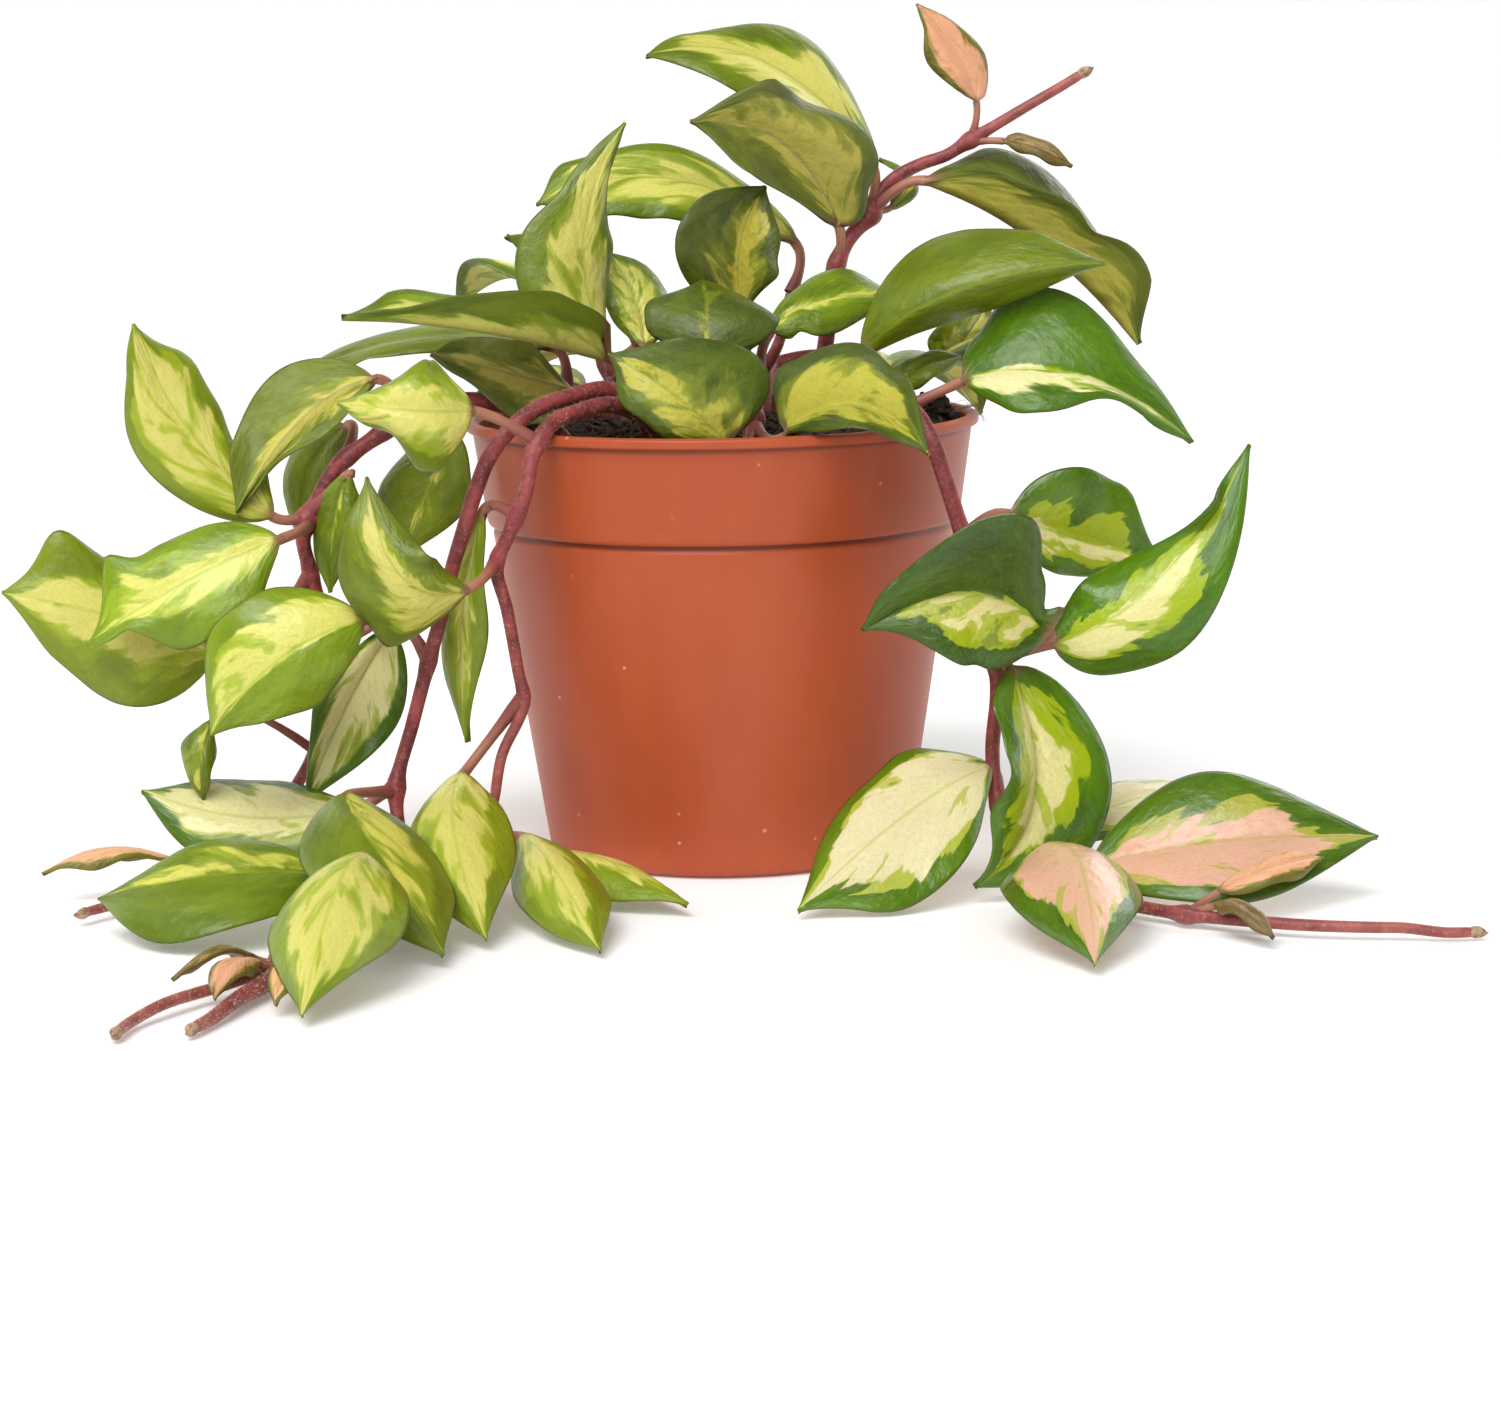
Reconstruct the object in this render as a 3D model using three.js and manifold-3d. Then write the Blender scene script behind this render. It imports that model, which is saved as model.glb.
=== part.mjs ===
// Potted trailing wax plant: plastic nursery pot, soil and eleven leafy stems.
// Millimetres, +Z up. The origin is the centre of the pot's underside and the front faces -Y.
import * as THREE from 'three';
import Module from 'manifold-3d';

// Pot: outer radii and heights of body, collar and lip
const POT_HEIGHT = 102.3;
const LIP_RADIUS = 60;
const LIP_HEIGHT = 2.5;
const COLLAR_TOP_RADIUS = 58.4;
const COLLAR_BOTTOM_RADIUS = 55.4;
const COLLAR_BOTTOM = 78;
const BODY_TOP_RADIUS = 54.2;
const BASE_RADIUS = 42.7;
const FOOT_ROUNDING = 2;
const LIP_ROUNDING = 0.8;
const STEP_SLOPE = 0.6;
const WALL = 1.5;
const FLOOR = 2;
const POT_SIDES = 40;
const DRAIN_HOLES = 8;
const DRAIN_RADIUS = 3.5;
const DRAIN_RING = 30;
const DRAIN_SIDES = 10;

// Soil: clearance to the pot's faceted wall, bevel at the bottom, setback of the wall points from the
// steps of the pot, height at the wall, slope to the front, rise to the middle, heap at the right, crumbs
const SOIL_GAP = 0.55;
const SOIL_FLOOR_GAP = 0.35;
const SOIL_BEVEL = 1.2;
const SOIL_SETBACK = 2;
const SOIL_RIM_GAP = 0.7;
const SOIL_EDGE = 95;
const SOIL_SLOPE = 0.02;
const SOIL_RISE = 5;
const SOIL_HEAP = 9;
const SOIL_HEAP_AT = [50, 2];
const SOIL_HEAP_SIZE = 10;
const SOIL_CRUMB = 0.45;
const SOIL_SIDES = 30;
const SOIL_RINGS = 5;

// Stems and leaf stalks: radii, clearance of the holes in the soil, swellings where stalks leave, sides,
// rings for each point of a stem, and the length under which a stalk has one ring fewer
const STEM_RADIUS = 2.1;
const STEM_TIP_RADIUS = 1.1;
const STALK_RADIUS = 1.15;
const STALK_ROOT = 1.3;
const YOUNG_STALK_RADIUS = 0.8;
const HOLE_GAP = 0.4;
const JOINT_REACH = 4;
const JOINT_SWELL = 1.2;
const STEM_SIDES = 6;
const STEM_DETAIL = 1.15;
const SHORT_STALK = 12;

// Leaf blades: thickness at the midrib and at the margin, gap to the surface below, the usual widest
// place along the midrib, where a hook begins, share of the width left at tip and root, and how full
// the outline is (1 is a plain sine)
const BLADE_MID = 1.7;
const BLADE_EDGE = 1;
const REST = 0.2;
const WIDEST = 0.45;
const HOOK_FROM = 0.55;
const TIP_WIDTH = 0.035;
const ROOT_WIDTH = 0.08;
const FULLNESS = 0.62;

// Waves of a margin: height, turn along the blade, and what sets margins and leaves apart
const WAVE = 1.1;
const WAVE_TURN = 9;
const WAVE_SHIFT = 2.4;
const WAVE_BY_PLACE = [0.37, 0.23];

// How fast the folds of a margin fade to base and tip, and how far a stalk runs on in line with its blade
const FOLD_FADE = 5;
const STALK_BEND = 0.4;

// Stations of the leaf skins along the midrib, and the steps that find the way a blade faces
const LEAF_STATIONS = [0, 0.1, 0.25, 0.42, 0.6, 0.77, 0.9, 1];
const YOUNG_STATIONS = [0, 0.22, 0.5, 0.8, 1];
const U_PROBE = 0.03;
const V_PROBE = 0.1;

// The leafy stems. A stem is the points of its centre line. A leaf is six points: where its stalk
// leaves the stem, the blade's base, middle and tip along the midrib, and one point on either margin.
// What makes its shape its own may follow: wide (widest place along the midrib), twist (degrees), hook
// (how far the tip half leaves the midrib's curve), young (small), and folds of the margins, each as
// margin (0 or 1), place along the midrib, span, lift off the blade and reach outward.
const LEAFY_STEMS = [
  {
    name: 'vine_left_outer',
    stems: [
      [[-30, -10, 70], [-36, -12, 97], [-46, -14, 105], [-58, -17, 108], [-70, -20, 106],
        [-80, -23, 100], [-88, -25, 94], [-93, -26, 86], [-96, -27, 79], [-95, -27, 72],
        [-93, -27, 64], [-89, -27, 52], [-89, -27, 40], [-96, -28, 27], [-104, -31, 15],
        [-112, -37, 6], [-115, -43, 3], [-124, -54, 3], [-134, -66, 3], [-143, -78, 3]],
    ],
    leaves: [
      [[-73, -21, 105], [-79, -28, 114], [-95, -30, 105], [-110, -34, 85], [-104, -26, 113], [-89, -32, 103],
        { folds: [[1, 0.75, 0.15, 0, -2], [0, 0.3, 0.12, 3, 1.5], [0, 0.8, 0.12, -3, 0]] }],
      [[-95, -27, 83], [-103, -30, 84], [-121, -33, 105], [-131, -36, 128], [-130, -36, 96], [-113, -28, 108],
        { folds: [[1, 0.76, 0.14, 0, 3], [1, 0.3, 0.12, 0, -2], [1, 0.12, 0.08, 0, 3],
          [0, 0.78, 0.16, 0, -1.5]] }],
      [[-95, -27, 81], [-100, -46, 80], [-119, -52, 72], [-142, -50, 58], [-115, -56, 59], [-121, -46, 82],
        { folds: [[1, 0.81, 0.1, 2, 9], [1, 0.62, 0.1, 0, 1], [0, 0.16, 0.12, 0, 6],
          [0, 0.8, 0.15, 3, -5]] }],
      [[-95, -27, 70], [-117, -34, 53], [-139, -40, 63], [-162, -42, 69], [-138, -40, 43], [-140, -36, 75],
        { folds: [[1, 0.63, 0.13, 3, 6.5], [0, 0.85, 0.12, 0, 2]] }],
      [[-89, -27, 54], [-81, -56, 63], [-98, -64, 56], [-114, -60, 39], [-89, -62, 46], [-105, -58, 69],
        { folds: [[1, 0.74, 0.16, 0, 3.5], [1, 0.92, 0.08, 0, 3], [0, 0.3, 0.15, 0, -1],
          [0, 0.8, 0.1, 3, 0]] }],
      [[-95, -28, 29], [-117, -40, 38], [-119, -44, 30], [-119, -42, 21], [-116, -44, 29], [-124, -40, 32],
        { young: true }],
      [[-95, -27, 83], [-85, -30, 92], [-88, -30, 83], [-90, -30, 66], [-82, -30, 81], [-94, -26, 81]],
      [[-77, -22, 102], [-62, -16, 101], [-68, -14, 87], [-76, -14, 71], [-59, -18, 85], [-79, -8, 89]],
      [[-86, -24, 96], [-87, -12, 102], [-95, -8, 92], [-99, -8, 75], [-88, -10, 89], [-101, -4, 95]],
      [[-114, -42, 3], [-127, -46, 8], [-140, -50, 11], [-154, -54, 7], [-140, -54, 9], [-140, -46, 9],
        { young: true }],
      [[-116, -44, 3], [-122, -60, 8], [-126, -72, 9], [-128, -84, 4], [-121, -72, 7], [-131, -70, 7],
        { young: true }],
    ],
  },
  {
    name: 'vine_left_middle',
    stems: [
      [[-14, -14, 70], [-16, -18, 97], [-20, -25, 107], [-26, -30, 111], [-34, -35, 110],
        [-41, -40, 108], [-47, -44, 104], [-52, -46, 98], [-55, -46, 91], [-58, -47, 82],
        [-61, -47, 73], [-64, -46, 62], [-67, -45, 52], [-71, -46, 38], [-75, -48, 24], [-74, -52, 13],
        [-72, -60, 5], [-71, -76, 3], [-71, -98, 3], [-80, -112, 3], [-92, -127, 3], [-103, -144, 3],
        [-112, -157, 3], [-117, -166, 2], [-119, -176, 2]],
      [[-92, -127, 3], [-94, -142, 3], [-98, -154, 3], [-102, -166, 2], [-105, -174, 2]],
    ],
    leaves: [
      [[-67, -45, 52], [-76, -36, 58], [-87, -34, 40], [-97, -34, 18], [-75, -38, 37], [-91, -36, 45],
        { folds: [[0, 0.7, 0.12, 3, 0], [1, 0.5, 0.12, 2, 1]] }],
      [[-75, -48, 25], [-85, -48, 19], [-109, -46, 17], [-133, -42, 23], [-108, -54, 7], [-108, -28, 23]],
      [[-75, -48, 23], [-84, -68, 26], [-76, -96, 21], [-60, -122, 3], [-61, -92, 15], [-90, -100, 16]],
      [[-71, -98, 3], [-88, -84, 12], [-110, -92, 14], [-136, -86, 8], [-112, -107, 4], [-108, -79, 20]],
      [[-71, -98, 3], [-77, -112, 22], [-80, -138, 20], [-84, -168, 3], [-66, -134, 13], [-93, -138, 14]],
      [[-92, -127, 3], [-96, -138, 6], [-100, -147, 8], [-102, -158, 4], [-96, -147, 6], [-104, -146, 6],
        { young: true }],
      [[-92, -127, 3], [-98, -132, 6], [-104, -140, 9], [-112, -146, 5], [-107, -143, 7], [-103, -136, 8],
        { young: true }],
      [[-88, -122, 3], [-86, -134, 6], [-88, -148, 8], [-90, -160, 3], [-84, -148, 7], [-92, -149, 7],
        { young: true }],
    ],
  },
  {
    name: 'vine_left_inner',
    stems: [
      [[-10, -20, 70], [-13, -24, 97], [-19, -30, 106], [-26, -35, 108], [-32, -40, 107],
        [-38, -46, 105], [-42, -50, 99], [-44, -52, 90], [-48, -51, 81], [-51, -49, 74],
        [-49, -48, 64], [-47, -46, 50], [-46, -46, 42], [-51, -48, 31], [-53, -49, 21], [-55, -50, 13]],
    ],
    leaves: [
      [[-41, -49, 101], [-56, -56, 109], [-69, -62, 110], [-84, -54, 111], [-66, -56, 96], [-63, -50, 120],
        { wide: 0.32, cup: [3, 3.5], folds: [[1, 0.14, 0.1, 0, 5], [0, 0.12, 0.1, 0, 3],
          [1, 0.55, 0.12, 2, 1.5], [0, 0.66, 0.14, 0, -4]] }],
      [[-51, -49, 75], [-58, -60, 70], [-71, -66, 75], [-78, -58, 95], [-82, -62, 67], [-64, -64, 79],
        { folds: [[0, 0.18, 0.12, 0, 6], [0, 0.85, 0.12, 3, -1], [1, 0.5, 0.12, 3, 0]] }],
      [[-46, -52, 85], [-54, -44, 85], [-59, -42, 61], [-59, -42, 33], [-54, -46, 61], [-64, -36, 58]],
      [[-46, -46, 44], [-60, -52, 27], [-60, -80, 20], [-52, -108, 3], [-47, -76, 17], [-71, -78, 15]],
      [[-55, -50, 13], [-46, -58, 14], [-38, -86, 12], [-28, -116, 2], [-28, -82, 9], [-46, -88, 5]],
      [[-55, -50, 13], [-42, -48, 8], [-28, -62, 9], [-10, -80, 3], [-24, -54, 4], [-32, -70, 5]],
    ],
  },
  {
    name: 'vine_right',
    stems: [
      [[30, -24, 70], [33, -28, 96], [37, -34, 105], [42, -42, 106], [46, -47, 100], [49, -48, 91],
        [52, -49, 81], [56, -50, 70], [59, -51, 58], [60, -51, 44], [59, -49, 30], [60, -52, 18],
        [63, -58, 7], [67, -66, 4], [77, -78, 3], [86, -89, 3], [96, -98, 3], [106, -104, 3],
        [119, -110, 3], [132, -113, 3], [139, -114, 3], [148, -115, 2], [155, -115, 2]],
    ],
    leaves: [
      [[57, -50, 66], [70, -62, 59], [52, -66, 68], [29, -70, 61], [56, -70, 52], [63, -72, 89],
        { wide: 0.36, folds: [[1, 0.62, 0.24, 0, -6], [1, 0.14, 0.12, 0, -13], [1, 0.05, 0.06, 0, -27],
          [0, 0.7, 0.16, 0, 4], [1, 0.34, 0.1, 4, 0]] }],
      [[53, -49, 78], [64, -40, 82], [81, -34, 75], [99, -30, 70], [82, -36, 92], [75, -34, 68],
        { folds: [[0, 0.8, 0.14, 0, 4], [1, 0.4, 0.12, 3, 0]] }],
      [[60, -51, 51], [73, -54, 55], [95, -58, 69], [116, -52, 98], [85, -48, 71], [100, -60, 53],
        { twist: -35, folds: [[0, 0.77, 0.14, 5, -10], [1, 0.3, 0.15, 0, -1.5], [0, 0.3, 0.1, 3, 0]] }],
      [[60, -51, 51], [62, -60, 50], [66, -69, 23], [53, -72, 4], [84, -62, 25], [59, -76, 32],
        { folds: [[1, 0.15, 0.12, 0, 4], [1, 0.5, 0.1, 4, 0], [1, 0.75, 0.1, -3, 2],
          [0, 0.8, 0.15, 0, 3]] }],
      [[60, -52, 18], [58, -50, 26], [40, -62, 19], [14, -84, 2], [48, -76, 7], [32, -50, 25],
        { folds: [[0, 0.75, 0.14, 0, 2], [1, 0.3, 0.12, 2, 1], [1, 0.75, 0.12, -2, 1]] }],
      [[66, -64, 4], [76, -52, 9], [100, -42, 17], [130, -44, 4], [98, -28, 19], [103, -52, 10]],
      [[67, -66, 4], [80, -71, 8], [107, -78, 14], [141, -75, 14], [104, -66, 27], [106, -92, 4]],
      [[67, -66, 4], [70, -78, 14], [73, -106, 15], [72, -140, 3], [86, -102, 10], [56, -106, 10]],
      [[96, -98, 3], [104, -94, 7], [116, -90, 11], [127, -87, 12], [115, -87, 12], [117, -94, 8],
        { young: true }],
      [[96, -98, 3], [102, -103, 6], [106, -112, 7], [111, -121, 3], [109, -111, 6], [103, -114, 6],
        { young: true }],
    ],
  },
  {
    name: 'vine_top',
    stems: [
      [[20, 16, 70], [22, 14, 100], [25, 12, 118], [27, 10, 134], [30, 11, 141], [35, 13, 147],
        [38, 14, 152], [42, 15, 156], [48, 16, 159], [54, 15, 161], [59, 15, 164], [66, 15, 168],
        [73, 15, 172], [82, 15, 177], [87, 15, 180]],
    ],
    leaves: [
      [[35, 13, 147], [36, 14, 160], [13, 14, 182], [-16, 4, 188], [8, 2, 175], [17, 24, 191],
        { hook: [0, 0, -3], folds: [[1, 0.68, 0.2, 0, -4], [0, 0.3, 0.14, 3, 0], [1, 0.3, 0.14, 0, 1]] }],
      [[28, 10, 136], [28, 8, 146], [14, 0, 166], [-6, -8, 170], [34, 4, 168], [8, -10, 157],
        { wide: 0.44, cup: [-3, 2], folds: [[0, 0.86, 0.1, -3, 5], [0, 0.6, 0.1, 5, -2],
          [0, 0.15, 0.1, 0, -3], [1, 0.5, 0.15, -3, 0]] }],
      [[60, 15, 165], [61, 14, 174], [56, 12, 185], [47, 10, 196], [50, 10, 182], [63, 14, 184],
        { wide: 0.42, young: true, folds: [[0, 0.8, 0.15, 0, -1], [1, 0.85, 0.15, 0, 1]] }],
      [[36, 13, 148], [50, 10, 155], [75, 4, 141], [98, 0, 117], [80, 20, 155], [86, -6, 148],
        { wide: 0.5, folds: [[1, 0.8, 0.16, 0, 4], [1, 0.3, 0.1, 0, -1.5], [1, 0.55, 0.07, -3, 0],
          [0, 0.22, 0.12, 0, 3]] }],
      [[60, 15, 164], [68, 12, 164], [75, 10, 162], [83, 8, 158], [75, 12, 165], [74, 8, 160],
        { young: true }],
      [[36, 13, 149], [41, 18, 149], [45, 24, 155], [39, 30, 160], [42, 22, 156], [47, 26, 153],
        { young: true }],
    ],
  },
  {
    name: 'vine_rear',
    stems: [
      [[8, 36, 70], [10, 40, 97], [12, 50, 107], [14, 60, 110], [13, 68, 106], [9, 75, 96],
        [6, 77, 86], [4, 76, 76], [3, 74, 66], [3, 72, 56], [2, 72, 46], [0, 74, 38]],
      [[12, 50, 107], [3, 55, 110], [-9, 60, 110], [-20, 64, 106], [-27, 69, 98], [-30, 70, 88],
        [-31, 69, 76], [-31, 67, 64], [-30, 65, 54]],
      [[13, 56, 109], [22, 56, 111], [32, 56, 110], [41, 57, 104], [46, 59, 95], [48, 60, 84],
        [48, 58, 72], [46, 57, 62]],
    ],
    leaves: [
      [[13, 68, 106], [24, 78, 100], [34, 87, 84], [40, 90, 60], [23, 92, 82], [46, 80, 84]],
      [[13, 68, 106], [2, 79, 104], [-10, 90, 90], [-18, 95, 66], [-23, 86, 88], [2, 96, 86]],
      [[6, 77, 86], [-6, 82, 76], [-14, 88, 58], [-18, 86, 34], [-28, 84, 60], [0, 90, 56]],
      [[6, 77, 86], [18, 80, 74], [24, 85, 56], [26, 82, 32], [12, 88, 54], [38, 80, 54]],
      [[3, 74, 66], [-8, 78, 56], [-20, 82, 40], [-30, 80, 22], [-28, 84, 52], [-12, 84, 30]],
      [[3, 74, 66], [12, 76, 52], [15, 80, 36], [14, 80, 12], [4, 84, 36], [27, 78, 34]],
      [[-18, 63, 107], [-28, 62, 112], [-42, 66, 112], [-56, 70, 101], [-41, 54, 116], [-44, 79, 110]],
      [[-29, 70, 92], [-36, 74, 87], [-41, 80, 72], [-42, 80, 51], [-52, 76, 71], [-31, 86, 72]],
      [[-31, 67, 65], [-36, 71, 58], [-40, 77, 42], [-40, 77, 22], [-50, 73, 41], [-31, 82, 42]],
      [[40, 57, 105], [48, 63, 108], [58, 72, 106], [67, 80, 94], [50, 80, 108], [66, 64, 108]],
      [[48, 60, 86], [49, 63, 81], [50, 69, 66], [48, 70, 46], [39, 76, 66], [59, 62, 66]],
      [[48, 58, 74], [43, 60, 66], [42, 64, 48], [40, 62, 28], [33, 71, 48], [50, 57, 48]],
    ],
  },
  {
    name: 'shoot_left',
    stems: [
      [[-14, -4, 70], [-16, -6, 97], [-19, -9, 105], [-25, -13, 113]],
      [[-19, -9, 104], [-27, -8, 106], [-36, -6, 110]],
    ],
    leaves: [
      [[-25, -13, 113], [-28, -13, 123], [-31, -10, 146], [-21, -6, 170], [-47, -14, 139], [-26, -3, 138],
        { wide: 0.32, twist: -40, folds: [[0, 0.62, 0.15, 2, -4], [1, 0.72, 0.2, 0, -2],
          [0, 0.85, 0.12, 2, -1.5], [1, 0.42, 0.1, 3, 0]] }],
      [[-24, -13, 112], [-26, -27, 118], [-55, -36, 126], [-84, -42, 129], [-36, -44, 134], [-40, -22, 130],
        { wide: 0.2, folds: [[0, 0.68, 0.2, 0, -3], [0, 0.45, 0.14, 0, -3], [0, 0.2, 0.07, 0, 1.5],
          [1, 0.75, 0.18, 0, 5]] }],
      [[-36, -6, 110], [-39, -6, 119], [-72, -8, 121], [-101, -12, 111], [-74, -16, 117], [-72, 6, 123],
        { folds: [[1, 0.3, 0.1, 2, 0], [0, 0.6, 0.1, 2, 0]] }],
      [[-28, -8, 106], [-34, -14, 109], [-50, -18, 114], [-66, -22, 119], [-52, -14, 122], [-46, -24, 104],
        { folds: [[0, 0.16, 0.12, 0, 5], [1, 0.75, 0.15, 0, -2]] }],
      [[-20, -10, 106], [-18, -4, 119], [-20, 0, 129], [-26, 4, 140], [-27, -2, 128], [-12, 6, 131]],
    ],
  },
  {
    name: 'shoot_back',
    stems: [
      [[5, 24, 70], [6, 24, 96], [8, 24, 106], [14, 23, 117], [17, 22, 130]],
      [[8, 24, 105], [7, 14, 107], [6, 4, 112]],
      [[8, 24, 105], [-7, 20, 110], [-20, 15, 118]],
    ],
    leaves: [
      [[17, 22, 129], [18, 26, 141], [-11, 28, 156], [-43, 20, 151], [-15, 20, 147], [-12, 32, 164],
        { folds: [[1, 0.86, 0.13, 0, 4], [0, 0.84, 0.13, 0, 3], [1, 0.2, 0.12, 0, -1],
          [0, 0.4, 0.1, 2, 0]] }],
      [[6, 4, 112], [5, -2, 126], [5, -2, 142], [11, -2, 155], [-10, -8, 144], [14, -8, 141],
        { wide: 0.5, folds: [[0, 0.8, 0.12, 3, 1], [1, 0.8, 0.12, -2, 0], [1, 0.22, 0.12, 0, 3]] }],
      [[-19, 15, 117], [-28, 18, 130], [-38, 18, 137], [-50, 12, 144], [-39, 12, 134], [-35, 22, 141]],
    ],
  },
  {
    name: 'shoot_front',
    stems: [
      [[6, -30, 70], [6, -30, 97], [7, -28, 104], [9, -22, 112]],
    ],
    leaves: [
      [[7, -28, 103], [0, -48, 101], [-12, -50, 112], [-25, -46, 120], [-14, -50, 102], [8, -46, 119],
        { wide: 0.3, folds: [[1, 0.7, 0.1, 3, 0], [0, 0.6, 0.12, 2, 0], [0, 0.72, 0.18, 0, 3]] }],
      [[7, -28, 103], [15, -46, 102], [30, -56, 108], [44, -68, 99], [24, -46, 122], [24, -64, 104],
        { wide: 0.4, folds: [[0, 0.1, 0.1, 0, 5], [0, 0.68, 0.1, 0, -1.5], [0, 0.84, 0.1, 4, 1.5],
          [1, 0.7, 0.15, 3, 0]] }],
      [[7, -28, 104], [-3, -34, 114], [-3, -31, 127], [-4, -16, 134], [-17, -28, 125], [13, -28, 125],
        { wide: 0.6, folds: [[0, 0.8, 0.12, 2, 2], [1, 0.82, 0.12, -2, 4]] }],
      [[9, -23, 111], [12, -16, 123], [25, -10, 129], [43, -2, 128], [26, -1, 135], [24, -15, 121],
        { folds: [[1, 0.2, 0.1, 0, -2], [0, 0.2, 0.1, 0, -1]] }],
    ],
  },
  {
    name: 'shoot_right',
    stems: [
      [[32, -8, 70], [32, -8, 97], [31, -11, 106], [28, -17, 112]],
      [[31, -11, 106], [37, -14, 106], [44, -20, 105]],
      [[31, -11, 106], [36, -3, 106], [41, 5, 108]],
    ],
    leaves: [
      [[28, -16, 112], [33, -18, 118], [55, -26, 132], [87, -24, 137], [49, -12, 143], [61, -16, 126],
        { folds: [[0, 0.85, 0.12, 2, 2.5], [1, 0.6, 0.1, 2, 0], [0, 0.5, 0.1, -2, 0]] }],
      [[40, 4, 108], [52, 14, 112], [58, 18, 118], [64, 22, 126], [51, 14, 121], [64, 22, 116]],
      [[43, -19, 105], [56, -22, 111], [79, -28, 112], [107, -24, 99], [73, -14, 131], [75, -36, 103],
        { hook: [0, 0, -3], folds: [[1, 0.66, 0.18, 3, -6], [1, 0.25, 0.1, 0, 1.5],
          [0, 0.75, 0.14, 0, -3], [0, 0.12, 0.1, 0, -3]] }],
      [[36, -13, 106], [41, -10, 109], [47, -10, 113], [56, -6, 115], [45, -6, 116], [48, -14, 110],
        { young: true }],
      [[37, -1, 106], [38, 16, 108], [41, 34, 112], [46, 54, 105], [30, 36, 113], [52, 30, 113]],
      [[41, 5, 108], [50, 6, 112], [66, 8, 117], [81, 12, 110], [65, 19, 116], [68, -4, 118]],
    ],
  },
  {
    name: 'shoot_rear',
    stems: [
      [[-21, 20, 70], [-23, 25, 98], [-28, 32, 112], [-32, 36, 122], [-34, 38, 127]],
    ],
    leaves: [
      [[-32, 36, 122], [-40, 44, 128], [-52, 56, 133], [-66, 66, 124], [-60, 46, 136], [-43, 65, 136]],
      [[-28, 32, 112], [-20, 42, 116], [-11, 57, 120], [-4, 74, 112], [-22, 62, 122], [3, 54, 124]],
      [[-25, 28, 104], [-34, 32, 106], [-48, 38, 108], [-62, 42, 99], [-51, 26, 111], [-44, 51, 110]],
    ],
  },];

const wasm = await Module();
wasm.setup();

const vec = ([x, y, z]) => new THREE.Vector3(x, y, z);

// A closed solid from corner points and triangles, turned outward if its volume is negative
function solid(points, triangles) {
  const flat = new Float32Array(points.flatMap((p) => [p.x, p.y, p.z]));
  let volume = 0;
  for (const [i, j, k] of triangles) {
    volume += points[i].dot(new THREE.Vector3().crossVectors(points[j], points[k]));
  }
  const turned = volume < 0 ? triangles.map(([i, j, k]) => [i, k, j]) : triangles;
  const triVerts = new Uint32Array(turned.flat());
  return new wasm.Manifold(new wasm.Mesh({ numProp: 3, vertProperties: flat, triVerts }));
}

// A closed skin over rings of corners, with flat ends
function loft(rings) {
  const sides = rings[0].length;
  const last = rings.length - 1;
  const triangles = [];
  for (let i = 0; i < last; i += 1) {
    for (let s = 0; s < sides; s += 1) {
      const a = i * sides + s;
      const b = i * sides + ((s + 1) % sides);
      triangles.push([a, b, b + sides], [a, b + sides, a + sides]);
    }
  }
  for (let s = 1; s < sides - 1; s += 1) {
    triangles.push([0, s + 1, s]);
    triangles.push([last * sides, last * sides + s, last * sides + s + 1]);
  }
  return solid(rings.flat(), triangles);
}

// A tube with flat ends along a line of points, with a radius at each point
function tube(line, radii, sides) {
  const rings = [];
  const last = line.length - 1;
  const along = line.map((p, i) => {
    return line[Math.min(i + 1, last)].clone().sub(line[Math.max(i - 1, 0)]).normalize();
  });
  let across = new THREE.Vector3(0, 0, 1).cross(along[0]);
  if (across.length() < 0.1) across = new THREE.Vector3(1, 0, 0);
  line.forEach((p, i) => {
    across.addScaledVector(along[i], -across.dot(along[i])).normalize();
    const up = along[i].clone().cross(across);
    const ring = [];
    for (let s = 0; s < sides; s += 1) {
      const turn = (2 * Math.PI * s) / sides;
      ring.push(p.clone().addScaledVector(across, radii[i] * Math.cos(turn))
        .addScaledVector(up, radii[i] * Math.sin(turn)));
    }
    rings.push(ring);
  });
  return loft(rings);
}

// A stem's smooth centre line with its radii; parts that reach the surface lie on it
function stemLine(points, gap = 0, joints = []) {
  const curve = new THREE.CatmullRomCurve3(points.map(vec), false, 'centripetal');
  const steps = Math.round((points.length - 1) * STEM_DETAIL);
  const line = curve.getPoints(steps);
  const radii = line.map((p, i) => {
    const radius = THREE.MathUtils.lerp(STEM_RADIUS, STEM_TIP_RADIUS, i / steps) + gap;
    return joints.some((joint) => joint.distanceTo(p) < JOINT_REACH) ? radius * JOINT_SWELL : radius;
  });
  line.forEach((p, i) => { p.z = Math.max(p.z, radii[i] + REST); });
  return [line, radii];
}

// Half width of a blade along its midrib, 1 at the widest place, with a drawn-out tip
function outline(u, widest) {
  const power = Math.log(0.5) / Math.log(widest);
  const body = Math.max(Math.sin(Math.PI * u ** power), 0) ** THREE.MathUtils.lerp(FULLNESS, 1, u);
  return Math.max(body, ROOT_WIDTH * (1 - u / WIDEST), TIP_WIDTH);
}

// Point and direction on the midrib, a parabola through base, middle and tip with a hooked end
function midrib({ base, mid, tip, hook }, u) {
  const point = base.clone().multiplyScalar((1 - u) * (1 - 2 * u))
    .addScaledVector(mid, 4 * u * (1 - u)).addScaledVector(tip, u * (2 * u - 1));
  const along = base.clone().multiplyScalar(4 * u - 3)
    .addScaledVector(mid, 4 - 8 * u).addScaledVector(tip, 4 * u - 1);
  const late = Math.max((u - HOOK_FROM) / (1 - HOOK_FROM), 0);
  point.addScaledVector(hook, late * late);
  along.addScaledVector(hook, (2 * late) / (1 - HOOK_FROM));
  return [point, along.normalize()];
}

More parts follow.
